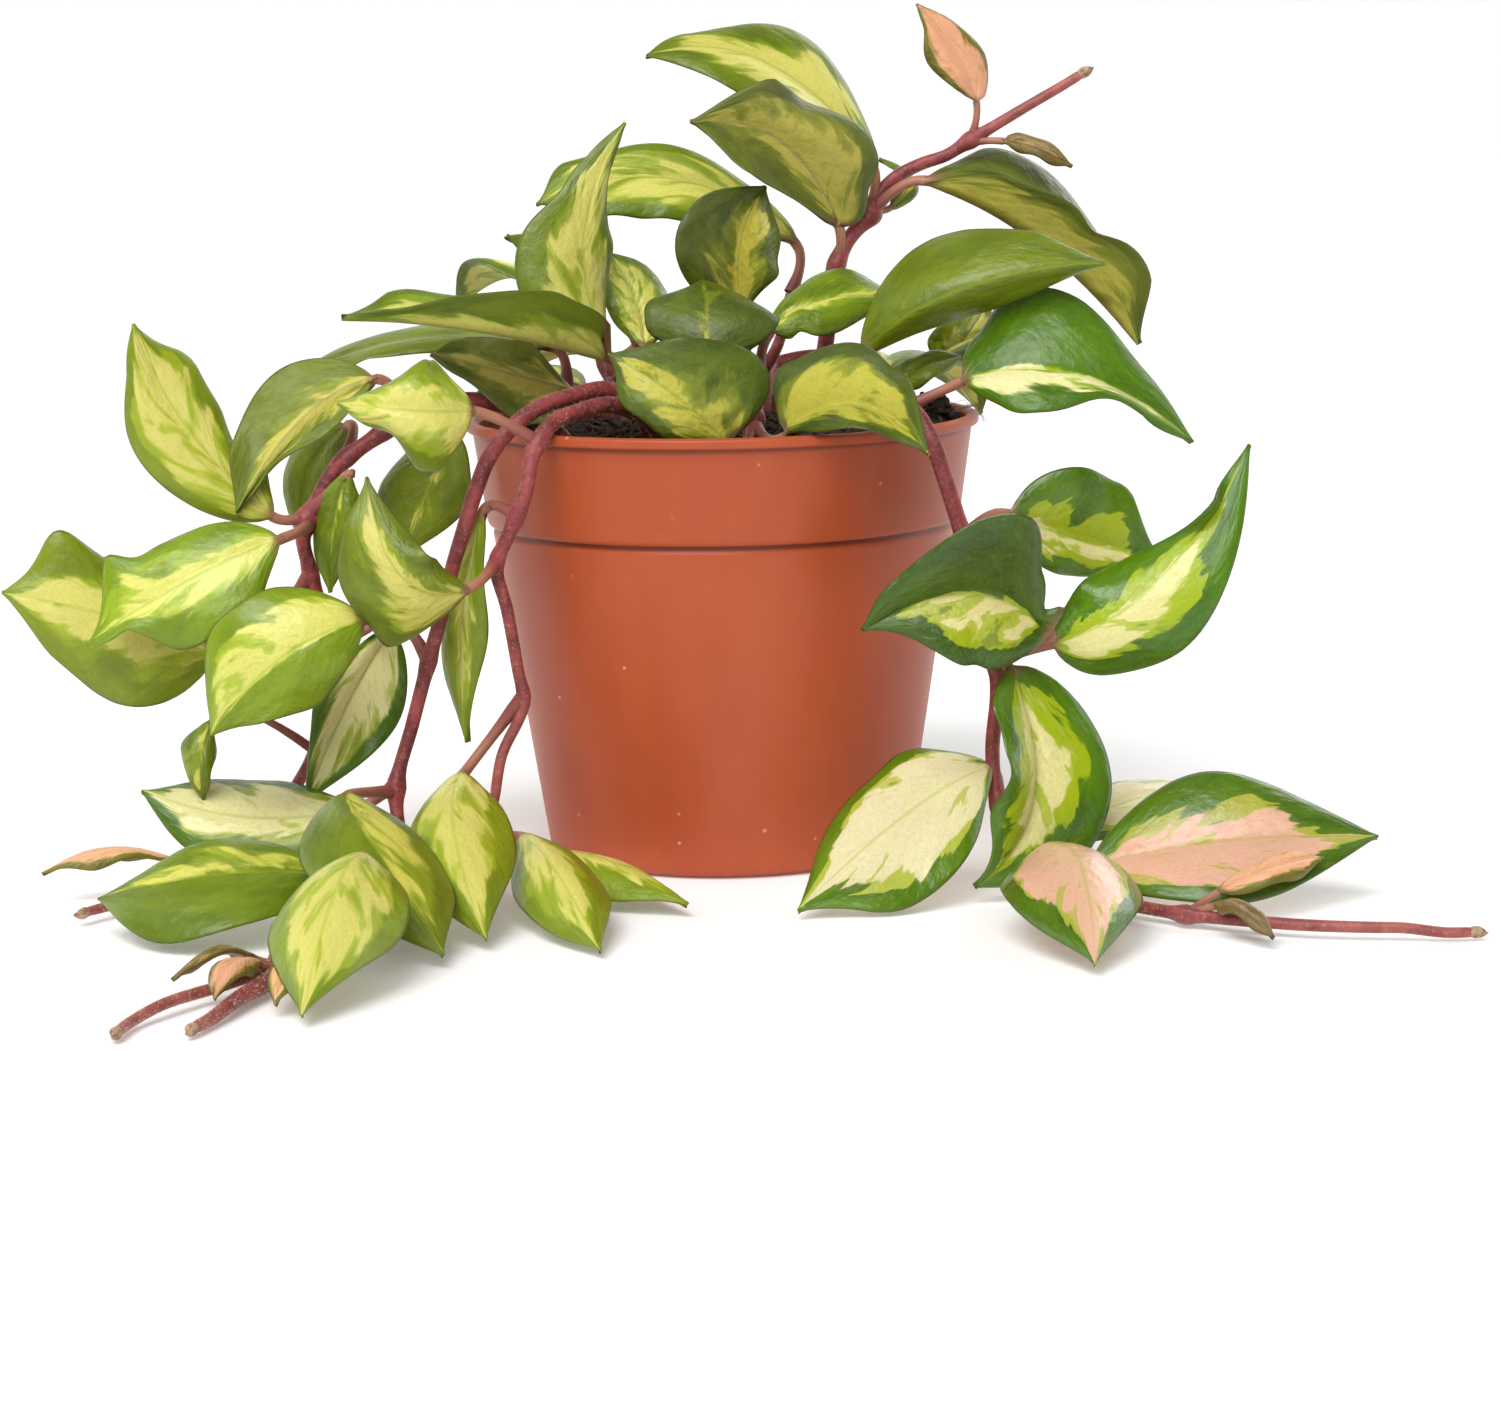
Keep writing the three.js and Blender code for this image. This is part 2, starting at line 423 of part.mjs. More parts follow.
// A point on the middle surface of a blade, u from base to tip and v from margin to margin
function bladePoint(leaf, u, v) {
  const [point, along] = midrib(leaf, u);
  const [centre, ahead] = midrib(leaf, leaf.widest);
  const toA = leaf.a.clone().sub(centre);
  const toB = leaf.b.clone().sub(centre);
  const face = toB.clone().sub(toA).cross(ahead).normalize();
  const side = v < 0 ? toA : toB;
  const bend = new THREE.Quaternion().setFromUnitVectors(ahead, along);
  const twist = new THREE.Quaternion().setFromAxisAngle(along,
    THREE.MathUtils.degToRad(leaf.twist) * (u - leaf.widest));
  side.applyQuaternion(bend).applyQuaternion(twist);
  face.applyQuaternion(bend).applyQuaternion(twist);
  const width = outline(u, leaf.widest);
  const away = Math.abs(v);
  const cup = leaf.cup[v < 0 ? 0 : 1] * 4 * away * (1 - away);
  const phase = WAVE_BY_PLACE[0] * leaf.tip.x + WAVE_BY_PLACE[1] * leaf.tip.y;
  const wave = WAVE * away * away * Math.sin(WAVE_TURN * u + phase + (v < 0 ? 0 : WAVE_SHIFT));
  let [lift, spread] = [0, 0];
  for (const [margin, at, span, up, out] of leaf.folds) {
    const here = margin === (v < 0 ? 0 : 1) ? Math.exp(-(((u - at) / span) ** 2)) : 0;
    const share = here * Math.min(FOLD_FADE * u, FOLD_FADE * (1 - u), 1);
    lift += up * share;
    spread += out * share;
  }
  return point.addScaledVector(side, (width + spread / side.length()) * away)
    .addScaledVector(face, width * (cup + wave) + lift * away * away);
}

// A leaf as one closed skin: rings of six corners run up the stalk and on along the blade, whose
// middle surface is thickened alike on both sides
function leafSolid(leaf) {
  const rings = [];
  const [, ahead] = midrib(leaf, 0);
  const reach = leaf.from.distanceTo(leaf.base);
  const bend = leaf.base.clone().addScaledVector(ahead, -STALK_BEND * reach);
  const stalk = new THREE.QuadraticBezierCurve3(leaf.from, bend, leaf.base);
  const slim = leaf.young ? YOUNG_STALK_RADIUS : STALK_RADIUS;
  const toB = bladePoint(leaf, U_PROBE, 1).sub(bladePoint(leaf, U_PROBE, -1)).normalize();
  const steps = leaf.young || reach < SHORT_STALK ? 2 : 3;
  for (let i = 0; i < steps; i += 1) {
    const centre = stalk.getPoint(i / steps);
    const along = stalk.getTangent(i / steps);
    const across = toB.clone().addScaledVector(along, -toB.dot(along)).normalize();
    const up = across.clone().cross(along);
    const radius = i === 0 ? slim * STALK_ROOT : slim;
    centre.z = Math.max(centre.z, radius + REST);
    rings.push([150, 90, 30, -30, -90, -150].map((degrees) => {
      const turn = THREE.MathUtils.degToRad(degrees);
      return centre.clone().addScaledVector(across, radius * Math.cos(turn))
        .addScaledVector(up, radius * Math.sin(turn));
    }));
  }
  for (const u of leaf.young ? YOUNG_STATIONS : LEAF_STATIONS) {
    const [uLow, uHigh] = [Math.max(u - U_PROBE, 0), Math.min(u + U_PROBE, 1)];
    const pairs = [-1, 0, 1].map((v) => {
      const [vLow, vHigh] = [Math.max(v - V_PROBE, -1), Math.min(v + V_PROBE, 1)];
      const du = bladePoint(leaf, uHigh, v * (1 - U_PROBE)).sub(bladePoint(leaf, uLow, v * (1 - U_PROBE)));
      const dv = bladePoint(leaf, u, vHigh).sub(bladePoint(leaf, u, vLow));
      const normal = dv.cross(du).normalize();
      const thick = (v === 0 ? BLADE_MID : BLADE_EDGE) / 2;
      const point = bladePoint(leaf, u, v);
      point.z = Math.max(point.z, REST + thick);
      return [point.clone().addScaledVector(normal, thick), point.addScaledVector(normal, -thick)];
    });
    rings.push([...pairs.map(([over]) => over), ...pairs.map(([, under]) => under).reverse()]);
  }
  return loft(rings);
}

function readLeaf([from, base, mid, tip, a, b, shape = {}]) {
  return {
    from: vec(from), base: vec(base), mid: vec(mid), tip: vec(tip), a: vec(a), b: vec(b),
    widest: shape.wide ?? WIDEST, twist: shape.twist ?? 0, cup: shape.cup ?? [0, 0], young: shape.young,
    hook: vec(shape.hook ?? [0, 0, 0]), folds: shape.folds ?? [],
  };
}

function leafyStem({ stems, leaves }) {
  const joints = leaves.map(([from]) => vec(from));
  const pieces = stems.map((points) => {
    const [line, radii] = stemLine(points, 0, joints);
    return tube(line, radii, STEM_SIDES);
  });
  leaves.forEach((row) => pieces.push(leafSolid(readLeaf(row))));
  return wasm.Manifold.union(pieces);
}

// A solid of revolution from its closed outline of [radius, height] points
function turned(outlinePoints, sides) {
  const points = [];
  const triangles = [];
  const count = outlinePoints.length;
  const index = (i, s) => {
    const [radius] = outlinePoints[i];
    return radius === 0 ? i * sides : i * sides + (s % sides);
  };
  outlinePoints.forEach(([radius, height]) => {
    for (let s = 0; s < sides; s += 1) {
      const turn = (2 * Math.PI * s) / sides;
      points.push(new THREE.Vector3(radius * Math.cos(turn), radius * Math.sin(turn), height));
    }
  });
  for (let i = 0; i < count; i += 1) {
    const next = (i + 1) % count;
    for (let s = 0; s < sides; s += 1) {
      const quad = [index(i, s), index(i, s + 1), index(next, s + 1), index(next, s)];
      for (const triangle of [[quad[0], quad[1], quad[2]], [quad[0], quad[2], quad[3]]]) {
        if (new Set(triangle).size === 3) triangles.push(triangle);
      }
    }
  }
  return solid(points, triangles);
}

function pot() {
  const lipBottom = POT_HEIGHT - LIP_HEIGHT;
  const foot = FOOT_ROUNDING;
  const mouth = COLLAR_TOP_RADIUS - WALL;
  const profile = [
    [0, 0], [BASE_RADIUS - foot, 0], [BASE_RADIUS, foot],
    [BODY_TOP_RADIUS, COLLAR_BOTTOM - STEP_SLOPE], [COLLAR_BOTTOM_RADIUS, COLLAR_BOTTOM],
    [COLLAR_TOP_RADIUS, lipBottom], [LIP_RADIUS, lipBottom], [LIP_RADIUS, POT_HEIGHT - LIP_ROUNDING],
    [LIP_RADIUS - LIP_ROUNDING, POT_HEIGHT], [mouth + LIP_ROUNDING, POT_HEIGHT],
    [mouth, POT_HEIGHT - LIP_ROUNDING], [COLLAR_BOTTOM_RADIUS - WALL, COLLAR_BOTTOM + STEP_SLOPE],
    [BODY_TOP_RADIUS - WALL, COLLAR_BOTTOM - STEP_SLOPE * 2],
    [BASE_RADIUS - WALL, FLOOR], [0, FLOOR],
  ];
  const holes = [];
  for (let i = 0; i < DRAIN_HOLES; i += 1) {
    const turn = (2 * Math.PI * i) / DRAIN_HOLES;
    holes.push(wasm.Manifold.cylinder(FLOOR * 3, DRAIN_RADIUS, DRAIN_RADIUS, DRAIN_SIDES, true)
      .translate([DRAIN_RING * Math.cos(turn), DRAIN_RING * Math.sin(turn), FLOOR / 2]));
  }
  return turned(profile, POT_SIDES).subtract(wasm.Manifold.union(holes));
}

// Height of the soil: low at the wall and the front, raised in the middle, heaped at the right
function soilHeight(x, y) {
  const share = Math.min(Math.hypot(x, y) / COLLAR_TOP_RADIUS, 1);
  const heapDistance = Math.hypot(x - SOIL_HEAP_AT[0], y - SOIL_HEAP_AT[1]) / SOIL_HEAP_SIZE;
  const crumbs = SOIL_CRUMB * (Math.sin(0.31 * x + 0.22 * y) + Math.sin(0.47 * y - 0.26 * x + 1));
  return SOIL_EDGE + SOIL_RISE * (1 - share ** 2) + SOIL_HEAP * Math.exp(-(heapDistance ** 2))
    + SOIL_SLOPE * y + crumbs;
}

function soil() {
  const bottom = FLOOR + SOIL_FLOOR_GAP;
  const innerRadius = (height) => {
    const fromBody = THREE.MathUtils.lerp(BASE_RADIUS, BODY_TOP_RADIUS, height / COLLAR_BOTTOM);
    return fromBody - WALL - SOIL_GAP;
  };
  const points = [new THREE.Vector3(0, 0, bottom)];
  const triangles = [];
  const walls = [
    [innerRadius(bottom) - SOIL_BEVEL, bottom], [innerRadius(bottom + SOIL_SETBACK), bottom + SOIL_SETBACK],
    [innerRadius(COLLAR_BOTTOM - SOIL_SETBACK), COLLAR_BOTTOM - SOIL_SETBACK],
    [COLLAR_BOTTOM_RADIUS - WALL - SOIL_GAP, COLLAR_BOTTOM + SOIL_SETBACK],
  ];
  const ring = (radius, height) => {
    for (let s = 0; s < SOIL_SIDES; s += 1) {
      const turn = (2 * Math.PI * s) / SOIL_SIDES;
      const [x, y] = [radius * Math.cos(turn), radius * Math.sin(turn)];
      points.push(new THREE.Vector3(x, y, height ?? soilHeight(x, y)));
    }
  };
  walls.forEach(([radius, height]) => ring(radius, height));
  const topRadius = COLLAR_TOP_RADIUS - WALL - SOIL_GAP - SOIL_RIM_GAP;
  for (let r = SOIL_RINGS; r > 0; r -= 1) ring((topRadius * r) / SOIL_RINGS);
  points.push(new THREE.Vector3(0, 0, soilHeight(0, 0)));
  const rings = walls.length + SOIL_RINGS;
  for (let s = 0; s < SOIL_SIDES; s += 1) {
    const next = (s + 1) % SOIL_SIDES;
    triangles.push([0, 1 + next, 1 + s]);
    for (let r = 0; r < rings - 1; r += 1) {
      const [a, b] = [1 + r * SOIL_SIDES + s, 1 + r * SOIL_SIDES + next];
      triangles.push([a, b, b + SOIL_SIDES], [a, b + SOIL_SIDES, a + SOIL_SIDES]);
    }
    const rim = 1 + (rings - 1) * SOIL_SIDES;
    triangles.push([rim + s, rim + next, points.length - 1]);
  }
  const holes = LEAFY_STEMS.map(({ stems }) => {
    const [line, radii] = stemLine(stems[0], HOLE_GAP);
    const buried = line.slice(0, line.findIndex((p) => p.z > POT_HEIGHT) + 1);
    const below = buried[0].clone().sub(buried[1]).normalize().add(buried[0]);
    return tube([below, ...buried], [radii[0], ...radii.slice(0, buried.length)], STEM_SIDES);
  });
  return solid(points, triangles).subtract(wasm.Manifold.union(holes));
}

const group = new THREE.Group();

function addNode(name, shape, color, roughness) {
  const mesh = shape.getMesh();
  const geometry = new THREE.BufferGeometry();
  geometry.setAttribute('position', new THREE.BufferAttribute(new Float32Array(mesh.vertProperties), 3));
  geometry.setIndex(Array.from(mesh.triVerts));
  const material = new THREE.MeshStandardMaterial({ color, roughness, metalness: 0 });
  const node = new THREE.Mesh(geometry, material);
  node.name = name;
  group.add(node);
}

addNode('pot', pot(), 0xb85836, 0.45);
addNode('soil', soil(), 0x2c1c14, 0.95);
const LEAF_GREENS = [0x7a9a3a, 0x86a544, 0x8aa848, 0x4f8a2c, 0x8f9f4a, 0x6f9a3c];
LEAFY_STEMS.forEach((row, i) => {
  addNode(row.name, leafyStem(row), LEAF_GREENS[i % LEAF_GREENS.length], 0.4);
});

export default group;
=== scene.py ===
"""Looks of the potted trailing wax plant: pot, soil and leafy stems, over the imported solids.

Lengths are in millimetres here and become metres when a mesh is made.
"""

import math
from types import SimpleNamespace

import bpy
import numpy as np
from mathutils import Euler, Matrix, Vector, noise


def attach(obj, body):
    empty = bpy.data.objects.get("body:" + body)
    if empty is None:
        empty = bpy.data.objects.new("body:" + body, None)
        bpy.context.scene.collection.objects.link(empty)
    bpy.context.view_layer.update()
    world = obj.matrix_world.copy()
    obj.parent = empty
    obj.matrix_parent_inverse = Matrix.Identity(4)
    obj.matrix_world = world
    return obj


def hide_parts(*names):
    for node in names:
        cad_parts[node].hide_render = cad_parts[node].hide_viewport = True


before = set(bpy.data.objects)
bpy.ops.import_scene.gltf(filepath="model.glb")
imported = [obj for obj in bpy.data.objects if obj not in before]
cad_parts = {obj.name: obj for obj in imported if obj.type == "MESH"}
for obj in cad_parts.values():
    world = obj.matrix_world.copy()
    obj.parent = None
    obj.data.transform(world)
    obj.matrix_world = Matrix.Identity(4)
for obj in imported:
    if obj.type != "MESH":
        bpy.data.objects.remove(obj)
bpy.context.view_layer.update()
rng = np.random.default_rng(7)
ROUND = 2 * np.pi
MM = 0.001

# Stems: radii, sides, steps between two points, swellings where stalks leave, how the last rings
# close, and the height and count of slight ribs, which turn along the stem
STEM_RADIUS = 2.1
STEM_TIP_RADIUS = 1.1
STEM_SIDES = 18
STEM_STEPS = 9
JOINT_REACH = 2.6
JOINT_SWELL = 0.28
STEM_END = (0.95, 0.85, 0.65, 0.3)
RIB_HEIGHT = 0.03
RIBS = 3
RIB_TURNS = 40
RIB_BY_SEED = 7

# Leaf stalks: radii, rings, share of the length that runs on in line with the blade, the swellings at
# the stem and at the blade, and the squared least height of the arch, which keeps the section open
STALK_RADIUS = 1.15
YOUNG_STALK_RADIUS = 0.8
STALK_RINGS = 9
STALK_BEND = 0.4
STALK_FOOT = 0.45
STALK_FOOT_REACH = 0.22
STALK_HEAD = 0.12
STALK_LEAST = 0.001

# Bud at the end of a stem: scales, rings, sides, radius, length, how far a later scale reaches on, how
# far the foot is sunk in, lean and curve, a slimming share, radius of the tip and gap to the surface
BUD_SCALES = 3
BUD_RINGS = 9
BUD_SIDES = 10
BUD_WIDTH = 1.25
BUD_LENGTH = 3.2
BUD_STEP = 0.5
BUD_SINK = 0.8
BUD_LEAN = 0.45
BUD_CURVE = 2.6
BUD_SLIM = 0.8
BUD_TIP = 0.05
BUD_CLEAR = 0.1

# Hairs of a stem: how many to a millimetre, longest length, half width, how much they lean, the share
# of the radius that they start at, and the least height of their tips
HAIRS = 9.0
HAIR_LENGTH = 0.8
HAIR_WIDTH = 0.045
HAIR_LEAN = 0.35
HAIR_ROOT = 0.97
HAIR_CLEAR = 0.05

# Leaf blades: thickness at midrib and margin, share of it on a young leaf, gap to the surface below,
# usual widest place and bulge between midrib and margin, and where a hook begins
BLADE_MID = 1.6
BLADE_EDGE = 1.0
YOUNG_THICKNESS = 0.7
REST = 0.2
WIDEST = 0.45
BULGE = 1.3
HOOK_FROM = 0.55

# Outline of a blade: power of its sine at the base, which grows to 1 at the tip, and the least width
# at the root, where it fades out, and at the tip
FULLNESS = 0.62
ROOT_WIDTH = 0.08
ROOT_FADE = 8
TIP_WIDTH = 0.012

# Waves of a margin, ripples across the blade, and how fast folds fade towards base and tip
WAVE = 1.1
WAVE_TURN = 9
WAVE_SHIFT = 2.4
WAVE_BY_PLACE = (0.37, 0.23)
RIPPLE = 0.25
RIPPLE_TURN = 7
RIPPLE_SLANT = 3.1
RIPPLE_BY_SEED = 9
FOLD_FADE = 5

# Grid of a blade: columns from midrib to margin and stations from base to tip, the same for a young
# leaf, and how much both crowd towards margin and base
BLADE_GRID = (11, 44)
YOUNG_GRID = (6, 20)
MARGIN_CROWDING = 0.45
BASE_CROWDING = 1.08

# Relief of a blade: length of the round root, roundness and squared least thickness of the margin,
# depth and reach of the groove above and of the ridge below the midrib, and height, number, slant and
# start of the side veins
ROOT_REACH = 0.05
MARGIN_POWER = 6
MARGIN_LEAST = 0.004
GROOVE, GROOVE_REACH = 0.32, 0.75
RIDGE, RIDGE_REACH = 0.5, 0.9
VEIN, VEINS, VEIN_LEAN, VEIN_FROM = 0.025, 8, 0.3, (0.05, 0.3)

# Where the surface coordinate along a leaf starts and ends on the stalk (it is 0 to 1 on the blade)
STALK_FROM, STALK_TO = -0.4, -0.02


def leaf(kind, pale, *points, wide=WIDEST, twist=0, cup=(BULGE, BULGE), young=False, hook=(0, 0, 0),
         folds=()):
    """A leaf by its colours, how far the pale middle reaches on either side, and six points.

    The points are where the stalk leaves the stem, the blade's base, middle and tip along the midrib,
    and one point on either margin. What makes the shape its own may follow: the widest place along
    the midrib, a twist in degrees, the bulge of either side, whether it is young and small, how far a
    hook takes the tip, and folds of the margins, each as margin (0 or 1), place along the midrib,
    span, lift off the blade and reach outward.
    """
    root, base, middle, tip, a, b = (np.array(point, float) for point in points)
    return SimpleNamespace(kind=kind, pale=pale, root=root, base=base, middle=middle, tip=tip, a=a, b=b,
                           wide=wide, twist=twist, cup=cup, young=young, folds=folds,
                           hook=np.array(hook, float))


# Each leafy stem is its stems, as points of their centre lines, and its leaves.
LEAFY_STEMS = {
    "vine_left_outer": ([
        [(-30, -10, 70), (-36, -12, 97), (-46, -14, 105), (-58, -17, 108), (-70, -20, 106),
         (-80, -23, 100), (-88, -25, 94), (-93, -26, 86), (-96, -27, 79), (-95, -27, 72), (-93, -27, 64),
         (-89, -27, 52), (-89, -27, 40), (-96, -28, 27), (-104, -31, 15), (-112, -37, 6), (-115, -43, 3),
         (-124, -54, 3), (-134, -66, 3), (-143, -78, 3)],
    ], [
        leaf("green", (0.2, 0.45), (-73, -21, 105), (-79, -28, 114), (-95, -30, 105), (-110, -34, 85),
             (-104, -26, 113), (-89, -32, 103), folds=[(1, 0.75, 0.15, 0, -2), (0, 0.3, 0.12, 3, 1.5),
             (0, 0.8, 0.12, -3, 0)]),
        leaf("lime", (0.8, 0.7), (-95, -27, 83), (-103, -30, 84), (-121, -33, 105), (-131, -36, 128),
             (-130, -36, 96), (-113, -28, 108), folds=[(1, 0.76, 0.14, 0, 3), (1, 0.3, 0.12, 0, -2),
             (1, 0.12, 0.08, 0, 3), (0, 0.78, 0.16, 0, -1.5)]),
        leaf("lime", (0.35, 0.55), (-95, -27, 81), (-100, -46, 80), (-119, -52, 72), (-142, -50, 58),
             (-115, -56, 59), (-121, -46, 82), folds=[(1, 0.81, 0.1, 2, 9), (1, 0.62, 0.1, 0, 1),
             (0, 0.16, 0.12, 0, 6), (0, 0.8, 0.15, 3, -5)]),
        leaf("lime", (0.5, 0.5), (-95, -27, 70), (-117, -34, 53), (-139, -40, 63), (-162, -42, 69),
             (-138, -40, 43), (-140, -36, 75), folds=[(1, 0.63, 0.13, 3, 6.5), (0, 0.85, 0.12, 0, 2)]),
        leaf("lime", (-0.3, 0.68), (-89, -27, 54), (-81, -56, 63), (-98, -64, 56), (-114, -60, 39),
             (-89, -62, 46), (-105, -58, 69), folds=[(1, 0.74, 0.16, 0, 3.5), (1, 0.92, 0.08, 0, 3),
             (0, 0.3, 0.15, 0, -1), (0, 0.8, 0.1, 3, 0)]),
        leaf("green", (0.1, 0.4), (-95, -28, 29), (-117, -40, 38), (-119, -44, 30), (-119, -42, 21),
             (-116, -44, 29), (-124, -40, 32), young=True),
        leaf("green", (0, -0.2), (-95, -27, 83), (-85, -30, 92), (-88, -30, 83), (-90, -30, 66),
             (-82, -30, 81), (-94, -26, 81)),
        leaf("green", (0.15, -0.1), (-77, -22, 102), (-62, -16, 101), (-68, -14, 87), (-76, -14, 71),
             (-59, -18, 85), (-79, -8, 89)),
        leaf("green", (-0.2, 0), (-86, -24, 96), (-87, -12, 102), (-95, -8, 92), (-99, -8, 75),
             (-88, -10, 89), (-101, -4, 95)),
        leaf("peach", (0.9, 0.8), (-114, -42, 3), (-127, -46, 8), (-140, -50, 11), (-154, -54, 7),
             (-140, -54, 9), (-140, -46, 9), young=True),
        leaf("peach", (0.7, 0.9), (-116, -44, 3), (-122, -60, 8), (-126, -72, 9), (-128, -84, 4),
             (-121, -72, 7), (-131, -70, 7), young=True),
    ]),
    "vine_left_middle": ([
        [(-14, -14, 70), (-16, -18, 97), (-20, -25, 107), (-26, -30, 111), (-34, -35, 110),
         (-41, -40, 108), (-47, -44, 104), (-52, -46, 98), (-55, -46, 91), (-58, -47, 82), (-61, -47, 73),
         (-64, -46, 62), (-67, -45, 52), (-71, -46, 38), (-75, -48, 24), (-74, -52, 13), (-72, -60, 5),
         (-71, -76, 3), (-71, -98, 3), (-80, -112, 3), (-92, -127, 3), (-103, -144, 3), (-112, -157, 3),
         (-117, -166, 2), (-119, -176, 2)],
        [(-92, -127, 3), (-94, -142, 3), (-98, -154, 3), (-102, -166, 2), (-105, -174, 2)],
    ], [
        leaf("cream", (0.75, 0.6), (-67, -45, 52), (-76, -36, 58), (-87, -34, 40), (-97, -34, 18),
             (-75, -38, 37), (-91, -36, 45), folds=[(0, 0.7, 0.12, 3, 0), (1, 0.5, 0.12, 2, 1)]),
        leaf("cream", (0.55, 0.75), (-75, -48, 25), (-85, -48, 19), (-109, -46, 17), (-133, -42, 23),
             (-108, -54, 7), (-108, -28, 23)),
        leaf("green", (0.5, -0.3), (-75, -48, 23), (-84, -68, 26), (-76, -96, 21), (-60, -122, 3),
             (-61, -92, 15), (-90, -100, 16)),
        leaf("green", (-0.35, 0.45), (-71, -98, 3), (-88, -84, 12), (-110, -92, 14), (-136, -86, 8),
             (-112, -107, 4), (-108, -79, 20)),
        leaf("lime", (0.8, 0.78), (-71, -98, 3), (-77, -112, 22), (-80, -138, 20), (-84, -168, 3),
             (-66, -134, 13), (-93, -138, 14)),
        leaf("peach", (0.9, 0.8), (-92, -127, 3), (-96, -138, 6), (-100, -147, 8), (-102, -158, 4),
             (-96, -147, 6), (-104, -146, 6), young=True),
        leaf("bronze", (0.3, 0.2), (-92, -127, 3), (-98, -132, 6), (-104, -140, 9), (-112, -146, 5),
             (-107, -143, 7), (-103, -136, 8), young=True),
        leaf("peach", (0.8, 0.9), (-88, -122, 3), (-86, -134, 6), (-88, -148, 8), (-90, -160, 3),
             (-84, -148, 7), (-92, -149, 7), young=True),
    ]),
    "vine_left_inner": ([
        [(-10, -20, 70), (-13, -24, 97), (-19, -30, 106), (-26, -35, 108), (-32, -40, 107),
         (-38, -46, 105), (-42, -50, 99), (-44, -52, 90), (-48, -51, 81), (-51, -49, 74), (-49, -48, 64),
         (-47, -46, 50), (-46, -46, 42), (-51, -48, 31), (-53, -49, 21), (-55, -50, 13)],
    ], [
        leaf("lime", (0.7, 0.6), (-41, -49, 101), (-56, -56, 109), (-69, -62, 110), (-84, -54, 111),
             (-66, -56, 96), (-64, -53, 119), wide=0.34, cup=(3, 3.5), folds=[(1, 0.2, 0.13, 0, 2),
             (0, 0.12, 0.1, 0, 3), (1, 0.5, 0.14, 2, 2), (0, 0.66, 0.14, -3, -4)]),
        leaf("yellow", (0.5, 0.35), (-51, -49, 75), (-58, -60, 70), (-71, -66, 75), (-78, -58, 95),
             (-82, -62, 67), (-64, -64, 79), folds=[(0, 0.18, 0.12, 0, 6), (0, 0.85, 0.12, 3, -1),
             (1, 0.5, 0.12, 3, 0)]),
        leaf("lime", (0.6, 0.1), (-46, -52, 85), (-54, -44, 85), (-59, -42, 61), (-59, -42, 33),
             (-54, -46, 61), (-64, -36, 58)),
        leaf("lime", (0.7, 0.6), (-46, -46, 44), (-60, -52, 27), (-60, -80, 20), (-52, -108, 3),
             (-47, -76, 17), (-71, -78, 15)),
        leaf("lime", (0.4, 0.6), (-55, -50, 13), (-46, -58, 14), (-38, -86, 12), (-28, -116, 2),
             (-28, -82, 9), (-46, -88, 5)),
        leaf("lime", (0.5, 0.3), (-55, -50, 13), (-42, -48, 8), (-28, -62, 9), (-10, -80, 3),
             (-24, -54, 4), (-32, -70, 5)),
    ]),
    "vine_right": ([
        [(30, -24, 70), (33, -28, 96), (37, -34, 105), (42, -42, 106), (46, -47, 100), (49, -48, 91),
         (52, -49, 81), (56, -50, 70), (59, -51, 58), (60, -51, 44), (59, -49, 30), (60, -52, 18),
         (63, -58, 7), (67, -66, 4), (77, -78, 3), (86, -89, 3), (96, -98, 3), (106, -104, 3),
         (119, -110, 3), (132, -113, 3), (139, -114, 3), (148, -115, 2), (155, -115, 2)],
    ], [
        # This leaf's darker greens are painted shade.
        leaf("deep", (0.42, -0.45), (57, -50, 66), (70, -62, 59), (52, -66, 68), (29, -70, 61),
             (56, -70, 52), (63, -72, 89), wide=0.36, folds=[(1, 0.62, 0.24, 0, -6),
             (1, 0.14, 0.12, 0, -13), (1, 0.05, 0.06, 0, -27), (0, 0.7, 0.16, 0, 4),
             (1, 0.34, 0.1, 4, 0)]),
        leaf("vivid", (0.2, 0.5), (53, -49, 78), (64, -40, 82), (81, -34, 75), (99, -30, 70),
             (82, -36, 92), (75, -34, 68), folds=[(0, 0.8, 0.14, 0, 4), (1, 0.4, 0.12, 3, 0)]),
        leaf("vivid", (0.12, 0.5), (60, -51, 51), (73, -54, 55), (95, -58, 69), (116, -52, 98),
             (85, -48, 71), (100, -60, 53), twist=-35, folds=[(0, 0.77, 0.14, 5, -10),
             (1, 0.3, 0.15, 0, -1.5), (0, 0.3, 0.1, 3, 0)]),
        leaf("vivid", (0.4, 0.5), (60, -51, 51), (62, -60, 50), (66, -69, 23), (53, -72, 4), (84, -62, 25),
             (59, -76, 32), folds=[(1, 0.15, 0.12, 0, 4), (1, 0.5, 0.1, 4, 0), (1, 0.75, 0.1, -3, 2),
             (0, 0.8, 0.15, 0, 3)]),
        leaf("white", (0.95, 0.9), (60, -52, 18), (58, -50, 26), (40, -62, 19), (14, -84, 2), (48, -76, 7),
             (32, -50, 25), folds=[(0, 0.75, 0.14, 0, 2), (1, 0.3, 0.12, 2, 1), (1, 0.75, 0.12, -2, 1)]),
        leaf("white", (0.9, 0.85), (66, -64, 4), (76, -52, 9), (100, -42, 17), (130, -44, 4),
             (98, -28, 19), (103, -52, 10)),
        leaf("pink", (0.45, 0.95), (67, -66, 4), (80, -71, 8), (107, -78, 14), (141, -75, 14),
             (104, -66, 27), (106, -92, 4)),
        leaf("pink", (0.75, 0.95), (67, -66, 4), (70, -78, 14), (73, -106, 15), (72, -140, 3),
             (86, -102, 10), (56, -106, 10)),
        leaf("peach", (0.9, 0.8), (96, -98, 3), (104, -94, 7), (116, -90, 11), (127, -87, 12),
             (115, -87, 12), (117, -94, 8), young=True),
